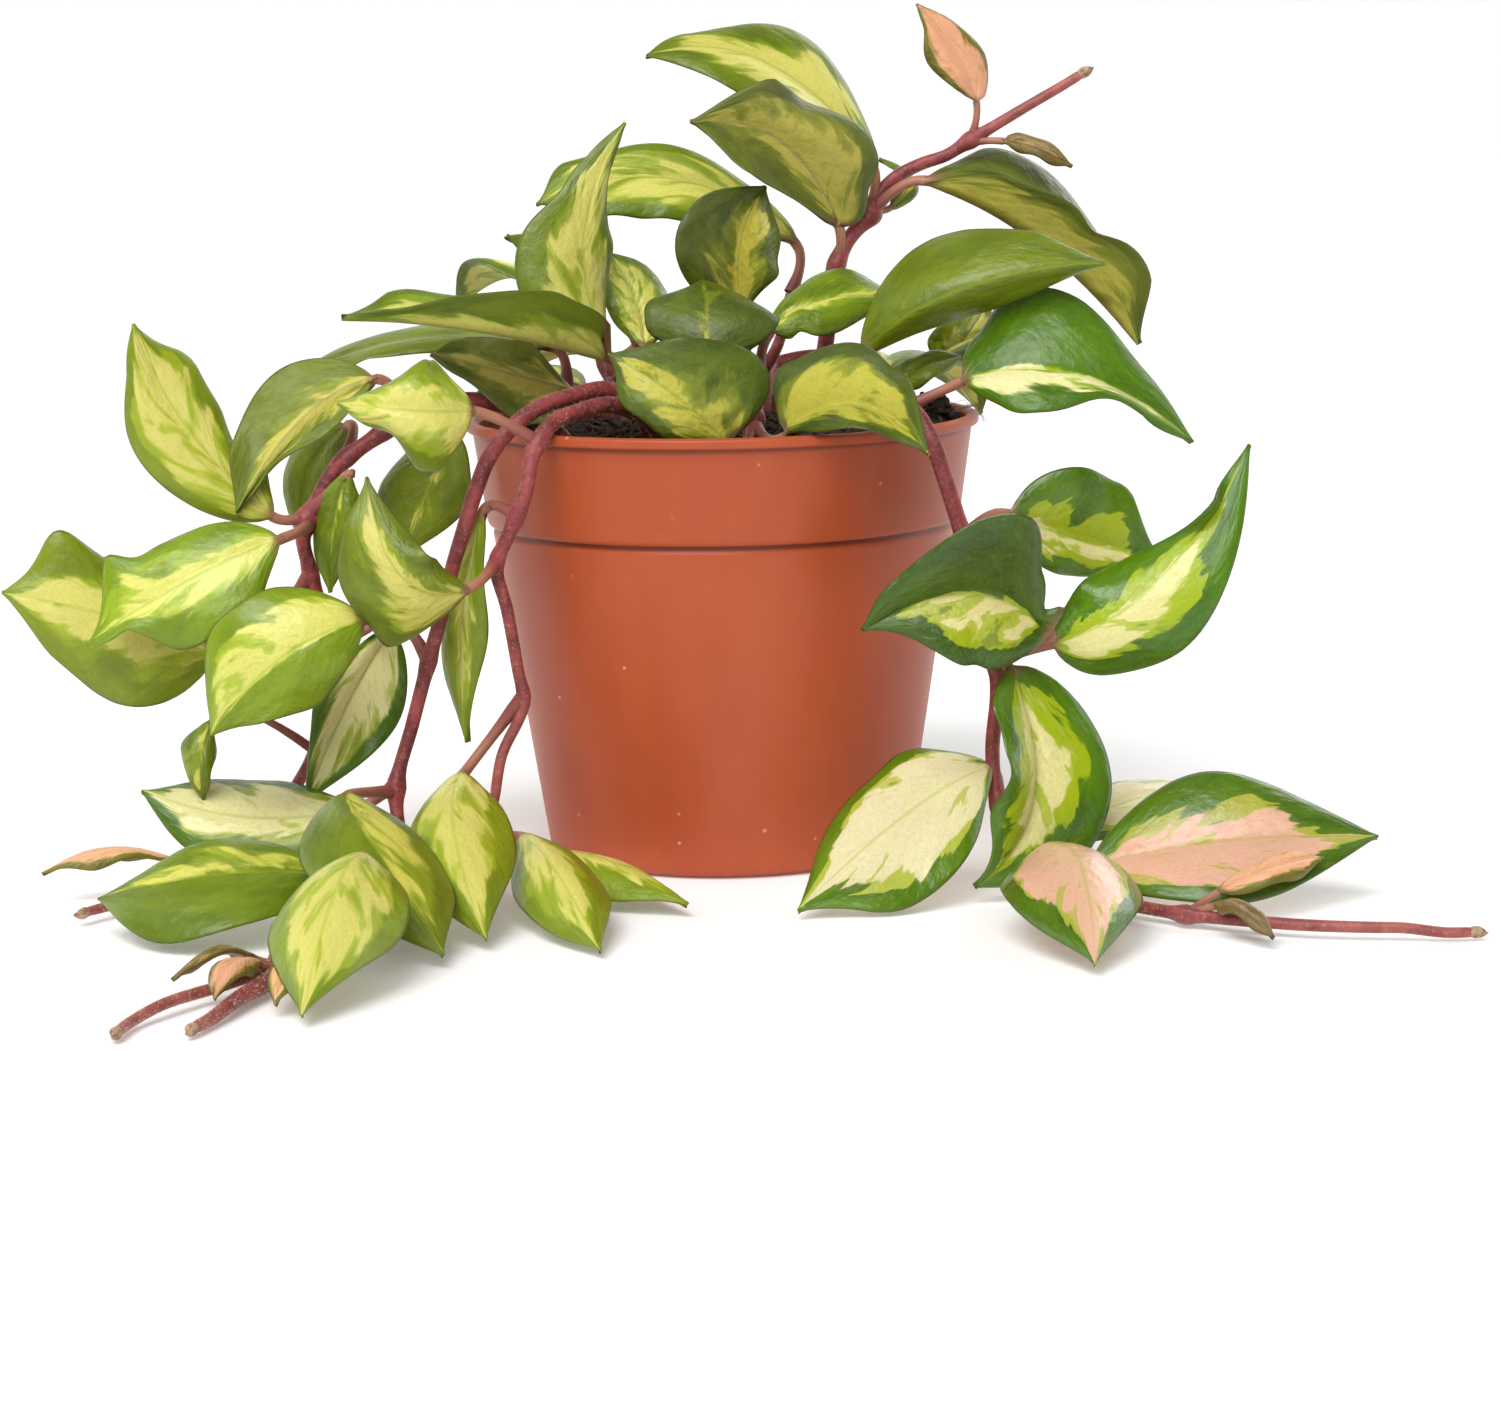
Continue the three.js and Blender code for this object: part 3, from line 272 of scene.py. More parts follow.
        leaf("bronze", (0.2, 0.1), (96, -98, 3), (102, -103, 6), (106, -112, 7), (111, -121, 3),
             (109, -111, 6), (103, -114, 6), young=True),
    ]),
    "vine_top": ([
        [(20, 16, 70), (22, 14, 100), (25, 12, 118), (27, 10, 134), (30, 11, 141), (35, 13, 147),
         (38, 14, 152), (42, 15, 156), (48, 16, 159), (54, 15, 161), (59, 15, 164), (66, 15, 168),
         (73, 15, 172), (82, 15, 177), (87, 15, 180)],
    ], [
        leaf("yellow", (0.55, 0.55), (35, 13, 147), (36, 14, 160), (13, 14, 182), (-16, 4, 188),
             (8, 2, 175), (17, 24, 191), hook=(0, 0, -3), folds=[(1, 0.68, 0.2, 0, -4),
             (0, 0.3, 0.14, 3, 0), (1, 0.3, 0.14, 0, 1)]),
        leaf("under", (0.78, 0.35), (28, 10, 136), (28, 8, 146), (14, 0, 166), (-6, -8, 170), (34, 4, 168),
             (8, -10, 157), wide=0.44, cup=(-3, 2), folds=[(0, 0.86, 0.1, -3, 5), (0, 0.6, 0.1, 5, -2),
             (0, 0.15, 0.1, 0, -3), (1, 0.5, 0.15, -3, 0)]),
        leaf("peach", (0.95, 0.95), (60, 15, 165), (61, 14, 174), (56, 12, 185), (47, 10, 196),
             (50, 10, 182), (63, 14, 184), wide=0.42, young=True, folds=[(0, 0.8, 0.15, 0, -1),
             (1, 0.85, 0.15, 0, 1)]),
        leaf("under", (0.2, 0.9), (36, 13, 148), (50, 10, 155), (75, 4, 141), (98, 0, 117), (80, 20, 155),
             (86, -6, 148), wide=0.5, folds=[(1, 0.8, 0.16, 0, 4), (1, 0.3, 0.1, 0, -1.5),
             (1, 0.55, 0.07, -3, 0), (0, 0.22, 0.12, 0, 3)]),
        leaf("bronze", (0.2, 0.3), (60, 15, 164), (68, 12, 164), (75, 10, 162), (83, 8, 158),
             (75, 12, 165), (74, 8, 160), young=True),
        leaf("green", (0.3, 0.3), (36, 13, 149), (41, 18, 149), (45, 24, 155), (39, 30, 160),
             (42, 22, 156), (47, 26, 153), young=True),
    ]),
    "vine_rear": ([
        [(8, 36, 70), (10, 40, 97), (12, 50, 107), (14, 60, 110), (13, 68, 106), (9, 75, 96), (6, 77, 86),
         (4, 76, 76), (3, 74, 66), (3, 72, 56), (2, 72, 46), (0, 74, 38)],
        [(12, 50, 107), (3, 55, 110), (-9, 60, 110), (-20, 64, 106), (-27, 69, 98), (-30, 70, 88),
         (-31, 69, 76), (-31, 67, 64), (-30, 65, 54)],
        [(13, 56, 109), (22, 56, 111), (32, 56, 110), (41, 57, 104), (46, 59, 95), (48, 60, 84),
         (48, 58, 72), (46, 57, 62)],
    ], [
        leaf("yellow", (0.6, 0.5), (13, 68, 106), (24, 78, 100), (34, 87, 84), (40, 90, 60), (23, 92, 82),
             (46, 80, 84)),
        leaf("green", (0.2, 0.3), (13, 68, 106), (2, 79, 104), (-10, 90, 90), (-18, 95, 66), (-23, 86, 88),
             (2, 96, 86)),
        leaf("yellow", (0.7, 0.6), (6, 77, 86), (-6, 82, 76), (-14, 88, 58), (-18, 86, 34), (-28, 84, 60),
             (0, 90, 56)),
        leaf("cream", (0.7, 0.8), (6, 77, 86), (18, 80, 74), (24, 85, 56), (26, 82, 32), (12, 88, 54),
             (38, 80, 54)),
        leaf("green", (0.1, 0.3), (3, 74, 66), (-8, 78, 56), (-20, 82, 40), (-30, 80, 22), (-28, 84, 52),
             (-12, 84, 30)),
        leaf("yellow", (0.6, 0.7), (3, 74, 66), (12, 76, 52), (15, 80, 36), (14, 80, 12), (4, 84, 36),
             (27, 78, 34)),
        leaf("olive", (0.3, 0.2), (-18, 63, 107), (-28, 62, 112), (-42, 66, 112), (-56, 70, 101),
             (-41, 54, 116), (-44, 79, 110)),
        leaf("yellow", (0.7, 0.7), (-29, 70, 92), (-36, 74, 87), (-41, 80, 72), (-42, 80, 51),
             (-52, 76, 71), (-31, 86, 72)),
        leaf("deep", (0.6, 0.5), (-31, 67, 65), (-36, 71, 58), (-40, 77, 42), (-40, 77, 22), (-50, 73, 41),
             (-31, 82, 42)),
        leaf("yellow", (0.7, 0.6), (40, 57, 105), (48, 63, 108), (58, 72, 106), (67, 80, 94),
             (50, 80, 108), (66, 64, 108)),
        leaf("green", (0.2, 0.4), (48, 60, 86), (49, 63, 81), (50, 69, 66), (48, 70, 46), (39, 76, 66),
             (59, 62, 66)),
        leaf("cream", (0.8, 0.7), (48, 58, 74), (43, 60, 66), (42, 64, 48), (40, 62, 28), (33, 71, 48),
             (50, 57, 48)),
    ]),
    "shoot_left": ([
        [(-14, -4, 70), (-16, -6, 97), (-19, -9, 105), (-25, -13, 113)],
        [(-19, -9, 104), (-27, -8, 106), (-36, -6, 110)],
    ], [
        leaf("yellow", (0.6, 0.75), (-25, -13, 113), (-28, -13, 123), (-31, -10, 146), (-21, -6, 170),
             (-47, -14, 139), (-26, -3, 138), wide=0.32, twist=-40, folds=[(0, 0.62, 0.15, 2, -4),
             (1, 0.72, 0.2, 0, -2), (0, 0.85, 0.12, 2, -1.5), (1, 0.42, 0.1, 3, 0)]),
        leaf("yellow", (0.3, 0.45), (-24, -13, 112), (-26, -27, 118), (-55, -36, 126), (-84, -42, 129),
             (-36, -44, 134), (-40, -22, 130), wide=0.2, folds=[(0, 0.68, 0.2, 0, -3),
             (0, 0.45, 0.14, 0, -3), (0, 0.2, 0.07, 0, 1.5), (1, 0.75, 0.18, 0, 5)]),
        leaf("green", (-0.35, -0.3), (-36, -6, 110), (-39, -6, 119), (-72, -8, 121), (-101, -12, 111),
             (-74, -16, 117), (-72, 6, 123), folds=[(1, 0.3, 0.1, 2, 0), (0, 0.6, 0.1, 2, 0)]),
        leaf("under", (0.45, 0.4), (-28, -8, 106), (-34, -14, 109), (-50, -18, 114), (-66, -22, 119),
             (-52, -14, 122), (-46, -24, 104), folds=[(0, 0.16, 0.12, 0, 5), (1, 0.75, 0.15, 0, -2)]),
        leaf("yellow", (0.7, 0.6), (-20, -10, 106), (-18, -4, 119), (-20, 0, 129), (-26, 4, 140),
             (-27, -2, 128), (-12, 6, 131)),
    ]),
    "shoot_back": ([
        [(5, 24, 70), (6, 24, 96), (8, 24, 106), (14, 23, 117), (17, 22, 130)],
        [(8, 24, 105), (7, 14, 107), (6, 4, 112)],
        [(8, 24, 105), (-7, 20, 110), (-20, 15, 118)],
    ], [
        leaf("yellow", (0.8, 0.75), (17, 22, 129), (18, 26, 141), (-11, 28, 156), (-43, 20, 151),
             (-15, 20, 147), (-12, 32, 164), folds=[(1, 0.86, 0.13, 0, 4), (0, 0.84, 0.13, 0, 3),
             (1, 0.2, 0.12, 0, -1), (0, 0.4, 0.1, 2, 0)]),
        leaf("olive", (0.25, 0.6), (6, 4, 112), (5, -2, 126), (5, -2, 142), (11, -2, 155), (-10, -8, 144),
             (14, -8, 141), wide=0.5, folds=[(0, 0.8, 0.12, 3, 1), (1, 0.8, 0.12, -2, 0),
             (1, 0.22, 0.12, 0, 3)]),
        leaf("green", (0.2, 0.1), (-19, 15, 117), (-28, 18, 130), (-38, 18, 137), (-50, 12, 144),
             (-39, 12, 134), (-35, 22, 141)),
    ]),
    "shoot_front": ([
        [(6, -30, 70), (6, -30, 97), (7, -28, 104), (9, -22, 112)],
    ], [
        leaf("olive", (0.5, 0.42), (7, -28, 103), (0, -48, 101), (-12, -50, 112), (-25, -46, 120),
             (-14, -50, 102), (8, -46, 119), wide=0.3, folds=[(1, 0.7, 0.1, 3, 0), (0, 0.6, 0.12, 2, 0),
             (0, 0.72, 0.18, 0, 3)]),
        leaf("olive", (0.7, 0.6), (7, -28, 103), (15, -46, 102), (30, -56, 108), (44, -68, 99),
             (24, -46, 122), (24, -64, 104), wide=0.4, folds=[(0, 0.1, 0.1, 0, 5), (0, 0.68, 0.1, 0, -1.5),
             (0, 0.84, 0.1, 4, 1.5), (1, 0.7, 0.15, 3, 0)]),
        leaf("olive", (0.05, 0), (7, -28, 104), (-3, -34, 114), (-3, -31, 127), (-4, -16, 134),
             (-17, -28, 125), (13, -28, 125), wide=0.6, folds=[(0, 0.8, 0.12, 2, 2),
             (1, 0.82, 0.12, -2, 4)]),
        leaf("yellow", (0.12, 0.15), (9, -23, 111), (12, -16, 123), (25, -10, 129), (43, -2, 128),
             (26, -1, 135), (24, -15, 121), folds=[(1, 0.2, 0.1, 0, -2), (0, 0.2, 0.1, 0, -1)]),
    ]),
    "shoot_right": ([
        [(32, -8, 70), (32, -8, 97), (31, -11, 106), (28, -17, 112)],
        [(31, -11, 106), (37, -14, 106), (44, -20, 105)],
        [(31, -11, 106), (36, -3, 106), (41, 5, 108)],
    ], [
        leaf("green", (-0.35, -0.3), (28, -16, 112), (33, -18, 118), (55, -26, 132), (87, -24, 137),
             (49, -12, 143), (61, -16, 126), folds=[(0, 0.85, 0.12, 2, 2.5), (1, 0.6, 0.1, 2, 0),
             (0, 0.5, 0.1, -2, 0)]),
        leaf("yellow", (0.6, 0.6), (40, 4, 108), (52, 14, 112), (58, 18, 118), (64, 22, 126),
             (51, 14, 121), (64, 22, 116)),
        leaf("fresh", (-0.45, 0.5), (43, -19, 105), (56, -22, 111), (79, -28, 112), (107, -24, 99),
             (73, -14, 131), (75, -36, 103), hook=(0, 0, -3), folds=[(1, 0.66, 0.18, 3, -6),
             (1, 0.25, 0.1, 0, 1.5), (0, 0.75, 0.14, 0, -3), (0, 0.12, 0.1, 0, -3)]),
        leaf("green", (-0.2, -0.2), (36, -13, 106), (41, -10, 109), (47, -10, 113), (56, -6, 115),
             (45, -6, 116), (48, -14, 110), young=True),
        leaf("green", (0.3, 0.2), (37, -1, 106), (38, 16, 108), (41, 34, 112), (46, 54, 105),
             (30, 36, 113), (52, 30, 113)),
        leaf("yellow", (0.6, 0.6), (41, 5, 108), (50, 6, 112), (66, 8, 117), (81, 12, 110), (65, 19, 116),
             (68, -4, 118)),
    ]),
    "shoot_rear": ([
        [(-21, 20, 70), (-23, 25, 98), (-28, 32, 112), (-32, 36, 122), (-34, 38, 127)],
    ], [
        leaf("yellow", (0.7, 0.6), (-32, 36, 122), (-40, 44, 128), (-52, 56, 133), (-66, 66, 124),
             (-60, 46, 136), (-43, 65, 136)),
        leaf("green", (0.3, 0.2), (-28, 32, 112), (-20, 42, 116), (-11, 57, 120), (-4, 74, 112),
             (-22, 62, 122), (3, 54, 124)),
        leaf("yellow", (0.6, 0.7), (-25, 28, 104), (-34, 32, 106), (-48, 38, 108), (-62, 42, 99),
             (-51, 26, 111), (-44, 51, 110)),
    ]),
}


def unit(vector):
    return vector / max(np.linalg.norm(vector), 1e-9)


def smooth(edge_low, edge_high, value):
    share = np.clip((value - edge_low) / (edge_high - edge_low), 0, 1)
    return share * share * (3 - 2 * share)


def circle(sides):
    return np.linspace(0, ROUND, sides, endpoint=False)


class Skin:
    """Collects the points and faces of one mesh object, their materials and surface coordinates, and
    the two values that a leaf's colours follow, its seed and the reach of its pale middle."""

    def __init__(self):
        self.points, self.faces, self.slots, self.where, self.looks = [], [], [], [], []
        self.count = 0

    def add(self, points, faces, slots, where=(0, 0), seed=0.0, pale=0.0):
        count = len(points)
        self.points.append(np.asarray(points, float))
        self.faces.append(faces + self.count)
        self.slots.append(np.broadcast_to(slots, len(faces)))
        self.where.append(np.broadcast_to(where, (count, 2)))
        self.looks.append(np.stack([np.full(count, seed), np.broadcast_to(pale, count)], -1))
        self.count += count

    def cover(self, faces, slot):
        """More faces between points that are already in."""
        self.faces.append(np.array(faces))
        self.slots.append(np.full(len(faces), slot))

    def build(self, name, materials, node):
        mesh = bpy.data.meshes.new(name)
        points = np.concatenate(self.points) * MM
        faces = [tuple(face) for block in self.faces for face in block]
        mesh.from_pydata(points.tolist(), [], faces)
        mesh.polygons.foreach_set("material_index", np.concatenate(self.slots).astype(np.int32))
        mesh.polygons.foreach_set("use_smooth", np.ones(len(faces), bool))
        corners = np.empty(len(mesh.loops), np.int32)
        mesh.loops.foreach_get("vertex_index", corners)
        layer = mesh.uv_layers.new(name="surface")
        layer.data.foreach_set("uv", np.concatenate(self.where)[corners].astype(np.float32).ravel())
        for column, title in enumerate(("seed", "pale")):
            values = np.ascontiguousarray(np.concatenate(self.looks)[:, column], np.float32)
            mesh.attributes.new(title, "FLOAT", "POINT").data.foreach_set("value", values)
        mesh.validate()
        mesh.update()
        piece = bpy.data.objects.new(name, mesh)
        bpy.context.scene.collection.objects.link(piece)
        for material in materials:
            mesh.materials.append(material)
        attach(piece, "root")
        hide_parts(node)


# Curves and surfaces shared by the pieces


def ring_faces(rings, sides):
    """Quads between rings of corners that follow each other."""
    ring = np.arange(rings - 1)[:, None] * sides
    side = np.arange(sides)[None, :]
    after = (side + 1) % sides
    quads = np.stack([ring + side, ring + after, ring + sides + after, ring + sides + side], -1)
    return quads.reshape(-1, 4)


def smooth_line(points, steps):
    """Centripetal spline through the points, as many steps between two points as given."""
    points = np.asarray(points, float)
    ends = [2 * points[0] - points[1], *points, 2 * points[-1] - points[-2]]
    line = []
    for i in range(len(points) - 1):
        p0, p1, p2, p3 = ends[i:i + 4]
        d0, d1, d2 = (max(np.linalg.norm(b - a), 1e-4) ** 0.5 for a, b in ((p0, p1), (p1, p2), (p2, p3)))
        m1 = ((p1 - p0) / d0 - (p2 - p0) / (d0 + d1) + (p2 - p1) / d1) * d1
        m2 = ((p2 - p1) / d1 - (p3 - p1) / (d1 + d2) + (p3 - p2) / d2) * d1
        for step in range(steps):
            t = step / steps
            line.append(p1 * (2 * t**3 - 3 * t**2 + 1) + m1 * (t**3 - 2 * t**2 + t)
                        + p2 * (3 * t**2 - 2 * t**3) + m2 * (t**3 - t**2))
    line.append(points[-1])
    return np.array(line)


def turn_frames(line):
    """Directions across and up at every point of a line, without sudden twists."""
    along = np.gradient(line, axis=0)
    along /= np.linalg.norm(along, axis=1, keepdims=True)
    across = np.cross((0, 0, 1), along[0])
    if np.linalg.norm(across) < 0.1:
        across = np.array((1.0, 0, 0))
    rows = []
    for direction in along:
        across = unit(across - direction * (across @ direction))
        rows.append(across)
    across = np.array(rows)
    return across, np.cross(along, across)


def tube(line, radii, sides):
    """Rings of corners round a line, and the directions across and up at its points."""
    across, up = turn_frames(line)
    turn = circle(sides)[None, :, None]
    rings = line[:, None] + radii[..., None] * (np.cos(turn) * across[:, None] + np.sin(turn) * up[:, None])
    return rings.reshape(-1, 3), across, up


# Leaves


def outline(u, wide):
    """Share of the full width at a place along the midrib."""
    power = math.log(0.5) / math.log(wide)
    body = max(math.sin(math.pi * u**power), 0) ** (FULLNESS + (1 - FULLNESS) * u)
    return max(body, ROOT_WIDTH * (1 - u * ROOT_FADE), TIP_WIDTH)


def midrib(leaf, u):
    """Point of the midrib's curve at u, from base to tip, and its direction there."""
    base, middle, tip = leaf.base, leaf.middle, leaf.tip
    point = base * (1 - u) * (1 - 2 * u) + middle * 4 * u * (1 - u) + tip * u * (2 * u - 1)
    along = base * (4 * u - 3) + middle * (4 - 8 * u) + tip * (4 * u - 1)
    late = max((u - HOOK_FROM) / (1 - HOOK_FROM), 0)
    return point + leaf.hook * late**2, unit(along + leaf.hook * 2 * late / (1 - HOOK_FROM))


def bend_to(first, second, vector):
    """The least turn that takes one direction to another, applied to a vector."""
    cosine = float(first @ second)
    axis = np.cross(first, second)
    return vector * cosine + np.cross(axis, vector) + axis * (axis @ vector) / (1 + cosine)


def twist_about(axis, angle, vector):
    return (vector * math.cos(angle) + np.cross(axis, vector) * math.sin(angle)
            + axis * (axis @ vector) * (1 - math.cos(angle)))


def blade_middle(leaf, stations, columns):
    """Middle surface of a blade as a grid of points, one row for each station from base to tip."""
    centre, ahead = midrib(leaf, leaf.wide)
    to_a, to_b = leaf.a - centre, leaf.b - centre
    face = unit(np.cross(to_b - to_a, ahead))
    away = np.abs(columns)[:, None]
    right = columns[:, None] >= 0
    phase = WAVE_BY_PLACE[0] * leaf.tip[0] + WAVE_BY_PLACE[1] * leaf.tip[1]
    ripple_phase = RIPPLE_SLANT * columns[:, None] + leaf.seed * RIPPLE_BY_SEED
    rows = []
    for u in stations:
        point, along = midrib(leaf, u)
        angle = math.radians(leaf.twist) * (u - leaf.wide)
        a, b, up = (twist_about(along, angle, bend_to(ahead, along, vector)) for vector in (to_a, to_b, face))
        lift, spread = np.zeros(2), np.zeros(2)
        for margin, at, span, rise, out in leaf.folds:
            share = math.exp(-((u - at) / span) ** 2) * min(FOLD_FADE * u, FOLD_FADE * (1 - u), 1)
            lift[margin] += rise * share
            spread[margin] += out * share
        width = outline(u, leaf.wide)
        side = np.where(right, b, a)
        reach = np.linalg.norm(side, axis=1, keepdims=True)
        side = side * (width + np.where(right, spread[1], spread[0]) / reach)
        cup = np.where(right, leaf.cup[1], leaf.cup[0]) * 4 * away * (1 - away)
        wave = WAVE * away**2 * np.sin(WAVE_TURN * u + phase + np.where(right, WAVE_SHIFT, 0.0))
        ripple = RIPPLE * np.sin(RIPPLE_TURN * u + ripple_phase) * away
        fold = np.where(right, lift[1], lift[0]) * away**2
        rows.append(point + side * away + up * (width * (cup + wave + ripple) + fold))
    return np.array(rows)


def stalk_radius(leaf):
    return YOUNG_STALK_RADIUS if leaf.young else STALK_RADIUS


def blade_rings(leaf, stations, columns):
    """Rings round a thick blade from base to tip, and the direction across the blade's base."""
    middle = blade_middle(leaf, stations, columns)
    along = np.gradient(middle, stations, axis=0)
    across = np.gradient(middle, np.arange(len(columns)), axis=1)
    normal = np.cross(across, along)
    normal /= np.maximum(np.linalg.norm(normal, axis=2, keepdims=True), 1e-9)
    axis = len(columns) // 2
    reach = np.linalg.norm(middle - middle[:, axis:axis + 1], axis=2)
    u, away = stations[:, None], np.abs(columns)[None, :]
    root = np.exp(-(u / ROOT_REACH) ** 2)
    thick = (BLADE_MID + (BLADE_EDGE - BLADE_MID) * away) * (YOUNG_THICKNESS if leaf.young else 1)
    thick = thick * (1 - root) + 2 * stalk_radius(leaf) * root
    half = 0.5 * thick * np.sqrt(np.clip(1 - away**MARGIN_POWER, MARGIN_LEAST, 1))
    fade = (1 - u) ** 0.5 * (1 - root)
    groove = GROOVE * np.exp(-(reach / GROOVE_REACH) ** 2) * fade
    ridge = RIDGE * np.exp(-(reach / RIDGE_REACH) ** 2) * fade
    vein = VEIN * np.sin(ROUND * VEINS * (u - VEIN_LEAN * away)) * smooth(*VEIN_FROM, away)
    over = middle + normal * (half - groove + vein)[..., None]
    under = middle - normal * (half + ridge - 0.5 * vein)[..., None]
    lift = np.maximum(REST + half - middle[..., 2], 0)
    over[..., 2] += lift
    under[..., 2] += lift
    return np.concatenate([over, under[:, ::-1]], axis=1), unit(middle[1, -1] - middle[1, 0])


def stalk_rings(leaf, columns, spread):
    """Rings round a stalk from stem to blade, with a corner for each corner of the blade's rings."""
    ahead = midrib(leaf, 0.0)[1]
    bend = leaf.base - ahead * STALK_BEND * np.linalg.norm(leaf.root - leaf.base)
    t = np.linspace(0, 1, STALK_RINGS + 1)[:, None]
    line = leaf.root * (1 - t) ** 2 + bend * 2 * t * (1 - t) + leaf.base * t**2
    tangent = np.gradient(line, axis=0)
    arch = np.sqrt(np.clip(1 - columns**2, STALK_LEAST, 1))[:, None]
    rings = []
    for i in range(STALK_RINGS):
        direction = unit(tangent[i])
        side = unit(spread - direction * (spread @ direction))
        up = np.cross(side, direction)
        share = i / STALK_RINGS
        swell = STALK_FOOT * math.exp(-(share / STALK_FOOT_REACH) ** 2) + STALK_HEAD * share**3
        radius = stalk_radius(leaf) * (1 + swell)
        centre = np.array((*line[i, :2], max(line[i, 2], radius + REST)))
        top = centre + radius * (columns[:, None] * side + arch * up)
        low = centre + radius * (columns[:, None] * side - arch * up)
        rings.append(np.concatenate([top, low[::-1]]))
    return np.array(rings)


def add_leaf(skin, leaf, upper, under, stalk):
    """One closed skin: round stalk that widens into a thick blade with rounded margins."""
    half_columns, steps = YOUNG_GRID if leaf.young else BLADE_GRID
    even = np.linspace(0, 1, half_columns)
    crowded = np.sin(even * np.pi / 2) * MARGIN_CROWDING + even * (1 - MARGIN_CROWDING)
    columns = np.concatenate([-crowded[:0:-1], crowded])
    stations = np.linspace(0, 1, steps) ** BASE_CROWDING
    blade, spread = blade_rings(leaf, stations, columns)
    rings = np.concatenate([stalk_rings(leaf, columns, spread), blade])
    count, sides = rings.shape[:2]
    slots = np.tile(np.where(np.arange(sides) < len(columns) - 1, upper, under), (count - 1, 1))
    slots[:STALK_RINGS - 1] = stalk
    u = np.concatenate([np.linspace(STALK_FROM, STALK_TO, STALK_RINGS), stations])
    v = np.concatenate([columns, columns[::-1]])
    where = np.stack([np.repeat(u, sides), np.tile(v, count)], -1)
    pale = np.select([v > 0, v < 0], [leaf.pale[1], leaf.pale[0]], sum(leaf.pale) / 2)
    skin.add(rings.reshape(-1, 3), ring_faces(count, sides), slots.ravel(), where, leaf.seed,
             np.tile(pale, count))
    first = skin.count - sides
    skin.cover([(first + j, first + j + 1, first + sides - 2 - j, first + sides - 1 - j)
                for j in range(len(columns) - 1)], upper)


# Stems


def add_stem(skin, points, joints, slot, seed):
    """One tapering tube that swells where leaf stalks leave it."""
    line = smooth_line(points, STEM_STEPS)
    share = np.linspace(0, 1, len(line))
    radius = STEM_RADIUS + (STEM_TIP_RADIUS - STEM_RADIUS) * share
    for joint in joints:
        gap = np.linalg.norm(line - joint, axis=1)
        radius = radius * (1 + JOINT_SWELL * np.exp(-(gap / JOINT_REACH) ** 2))
    radius[-len(STEM_END):] *= STEM_END
    line[:, 2] = np.maximum(line[:, 2], radius + REST)
    turn = circle(STEM_SIDES)
    ribs = np.sin(RIBS * turn)[None, :] * np.sin(share * RIB_TURNS + seed * RIB_BY_SEED)[:, None]
    rings, across, up = tube(line, radius[:, None] * (1 + RIB_HEIGHT * ribs), STEM_SIDES)
    where = np.stack([np.repeat(share, STEM_SIDES), np.tile(turn / ROUND, len(line))], -1)
    skin.add(rings, ring_faces(len(line), STEM_SIDES), slot, where, seed)
    last = skin.count - STEM_SIDES
    skin.cover([(last, last + j + 1, last + j + 2) for j in range(STEM_SIDES - 2)], slot)
    return line, radius, across, up


def add_bud(skin, end, before, slot):
    """A small pointed bud of scales at the end of a stem."""
    ahead = unit(end - before)
    side = unit(np.cross(ahead, (0.3, 0.2, 1.0)))
    up = np.cross(side, ahead)
    turn = circle(BUD_SIDES)[:, None]
    for scale in range(BUD_SCALES):
        tilt = ROUND * scale / BUD_SCALES
        lean = side * math.cos(tilt) + up * math.sin(tilt)
        length = BUD_LENGTH + BUD_STEP * scale
        rings = []
        for share in np.linspace(0, 1, BUD_RINGS):
            width = BUD_SLIM * (BUD_WIDTH * math.sin(math.pi * (0.2 + 0.8 * share) ** 0.8) ** 0.8 + BUD_TIP)
            centre = end + ahead * (length * share - BUD_SINK) + lean * BUD_LEAN * math.sin(BUD_CURVE * share)
            centre[2] = max(centre[2], width + BUD_CLEAR)
            rings.append(centre + width * (np.cos(turn) * side + np.sin(turn) * up))
        skin.add(np.concatenate(rings), ring_faces(BUD_RINGS, BUD_SIDES), slot)


def add_hairs(skin, line, radius, across, up, slot):
    """Short pale hairs on a stem, each one slim triangle."""
    lengths = np.linalg.norm(np.diff(line, axis=0), axis=1)
    total = lengths.sum()
    count = int(total * HAIRS)
    spots = rng.random(count) * total
    starts = np.concatenate([[0], np.cumsum(lengths)])
    index = np.clip(np.searchsorted(starts, spots) - 1, 0, len(line) - 2)
    part = ((spots - starts[index]) / lengths[index])[:, None]
    centre = line[index] * (1 - part) + line[index + 1] * part
    turn = rng.random((count, 1)) * ROUND
    outward = np.cos(turn) * across[index] + np.sin(turn) * up[index]
    along = (line[index + 1] - line[index]) / lengths[index][:, None]
    side = np.cross(along, outward)
    root = centre + outward * radius[index][:, None] * HAIR_ROOT
    length = HAIR_LENGTH * (0.4 + 0.6 * rng.random((count, 1)))
    lean = along * rng.normal(0, HAIR_LEAN, (count, 1)) + side * rng.normal(0, HAIR_LEAN, (count, 1))
    tip = root + (outward + lean) * length
    clear = tip[:, 2] > HAIR_CLEAR
    corners = np.stack([root - side * HAIR_WIDTH, root + side * HAIR_WIDTH, tip], 1)[clear].reshape(-1, 3)
    skin.add(corners, np.arange(len(corners)).reshape(-1, 3), slot)


# Materials


def colour(red, green, blue):
    """sRGB bytes as a linear colour."""
    parts = [value / 255 for value in (red, green, blue)]
    return tuple(p / 12.92 if p < 0.04045 else ((p + 0.055) / 1.055) ** 2.4 for p in parts) + (1.0,)


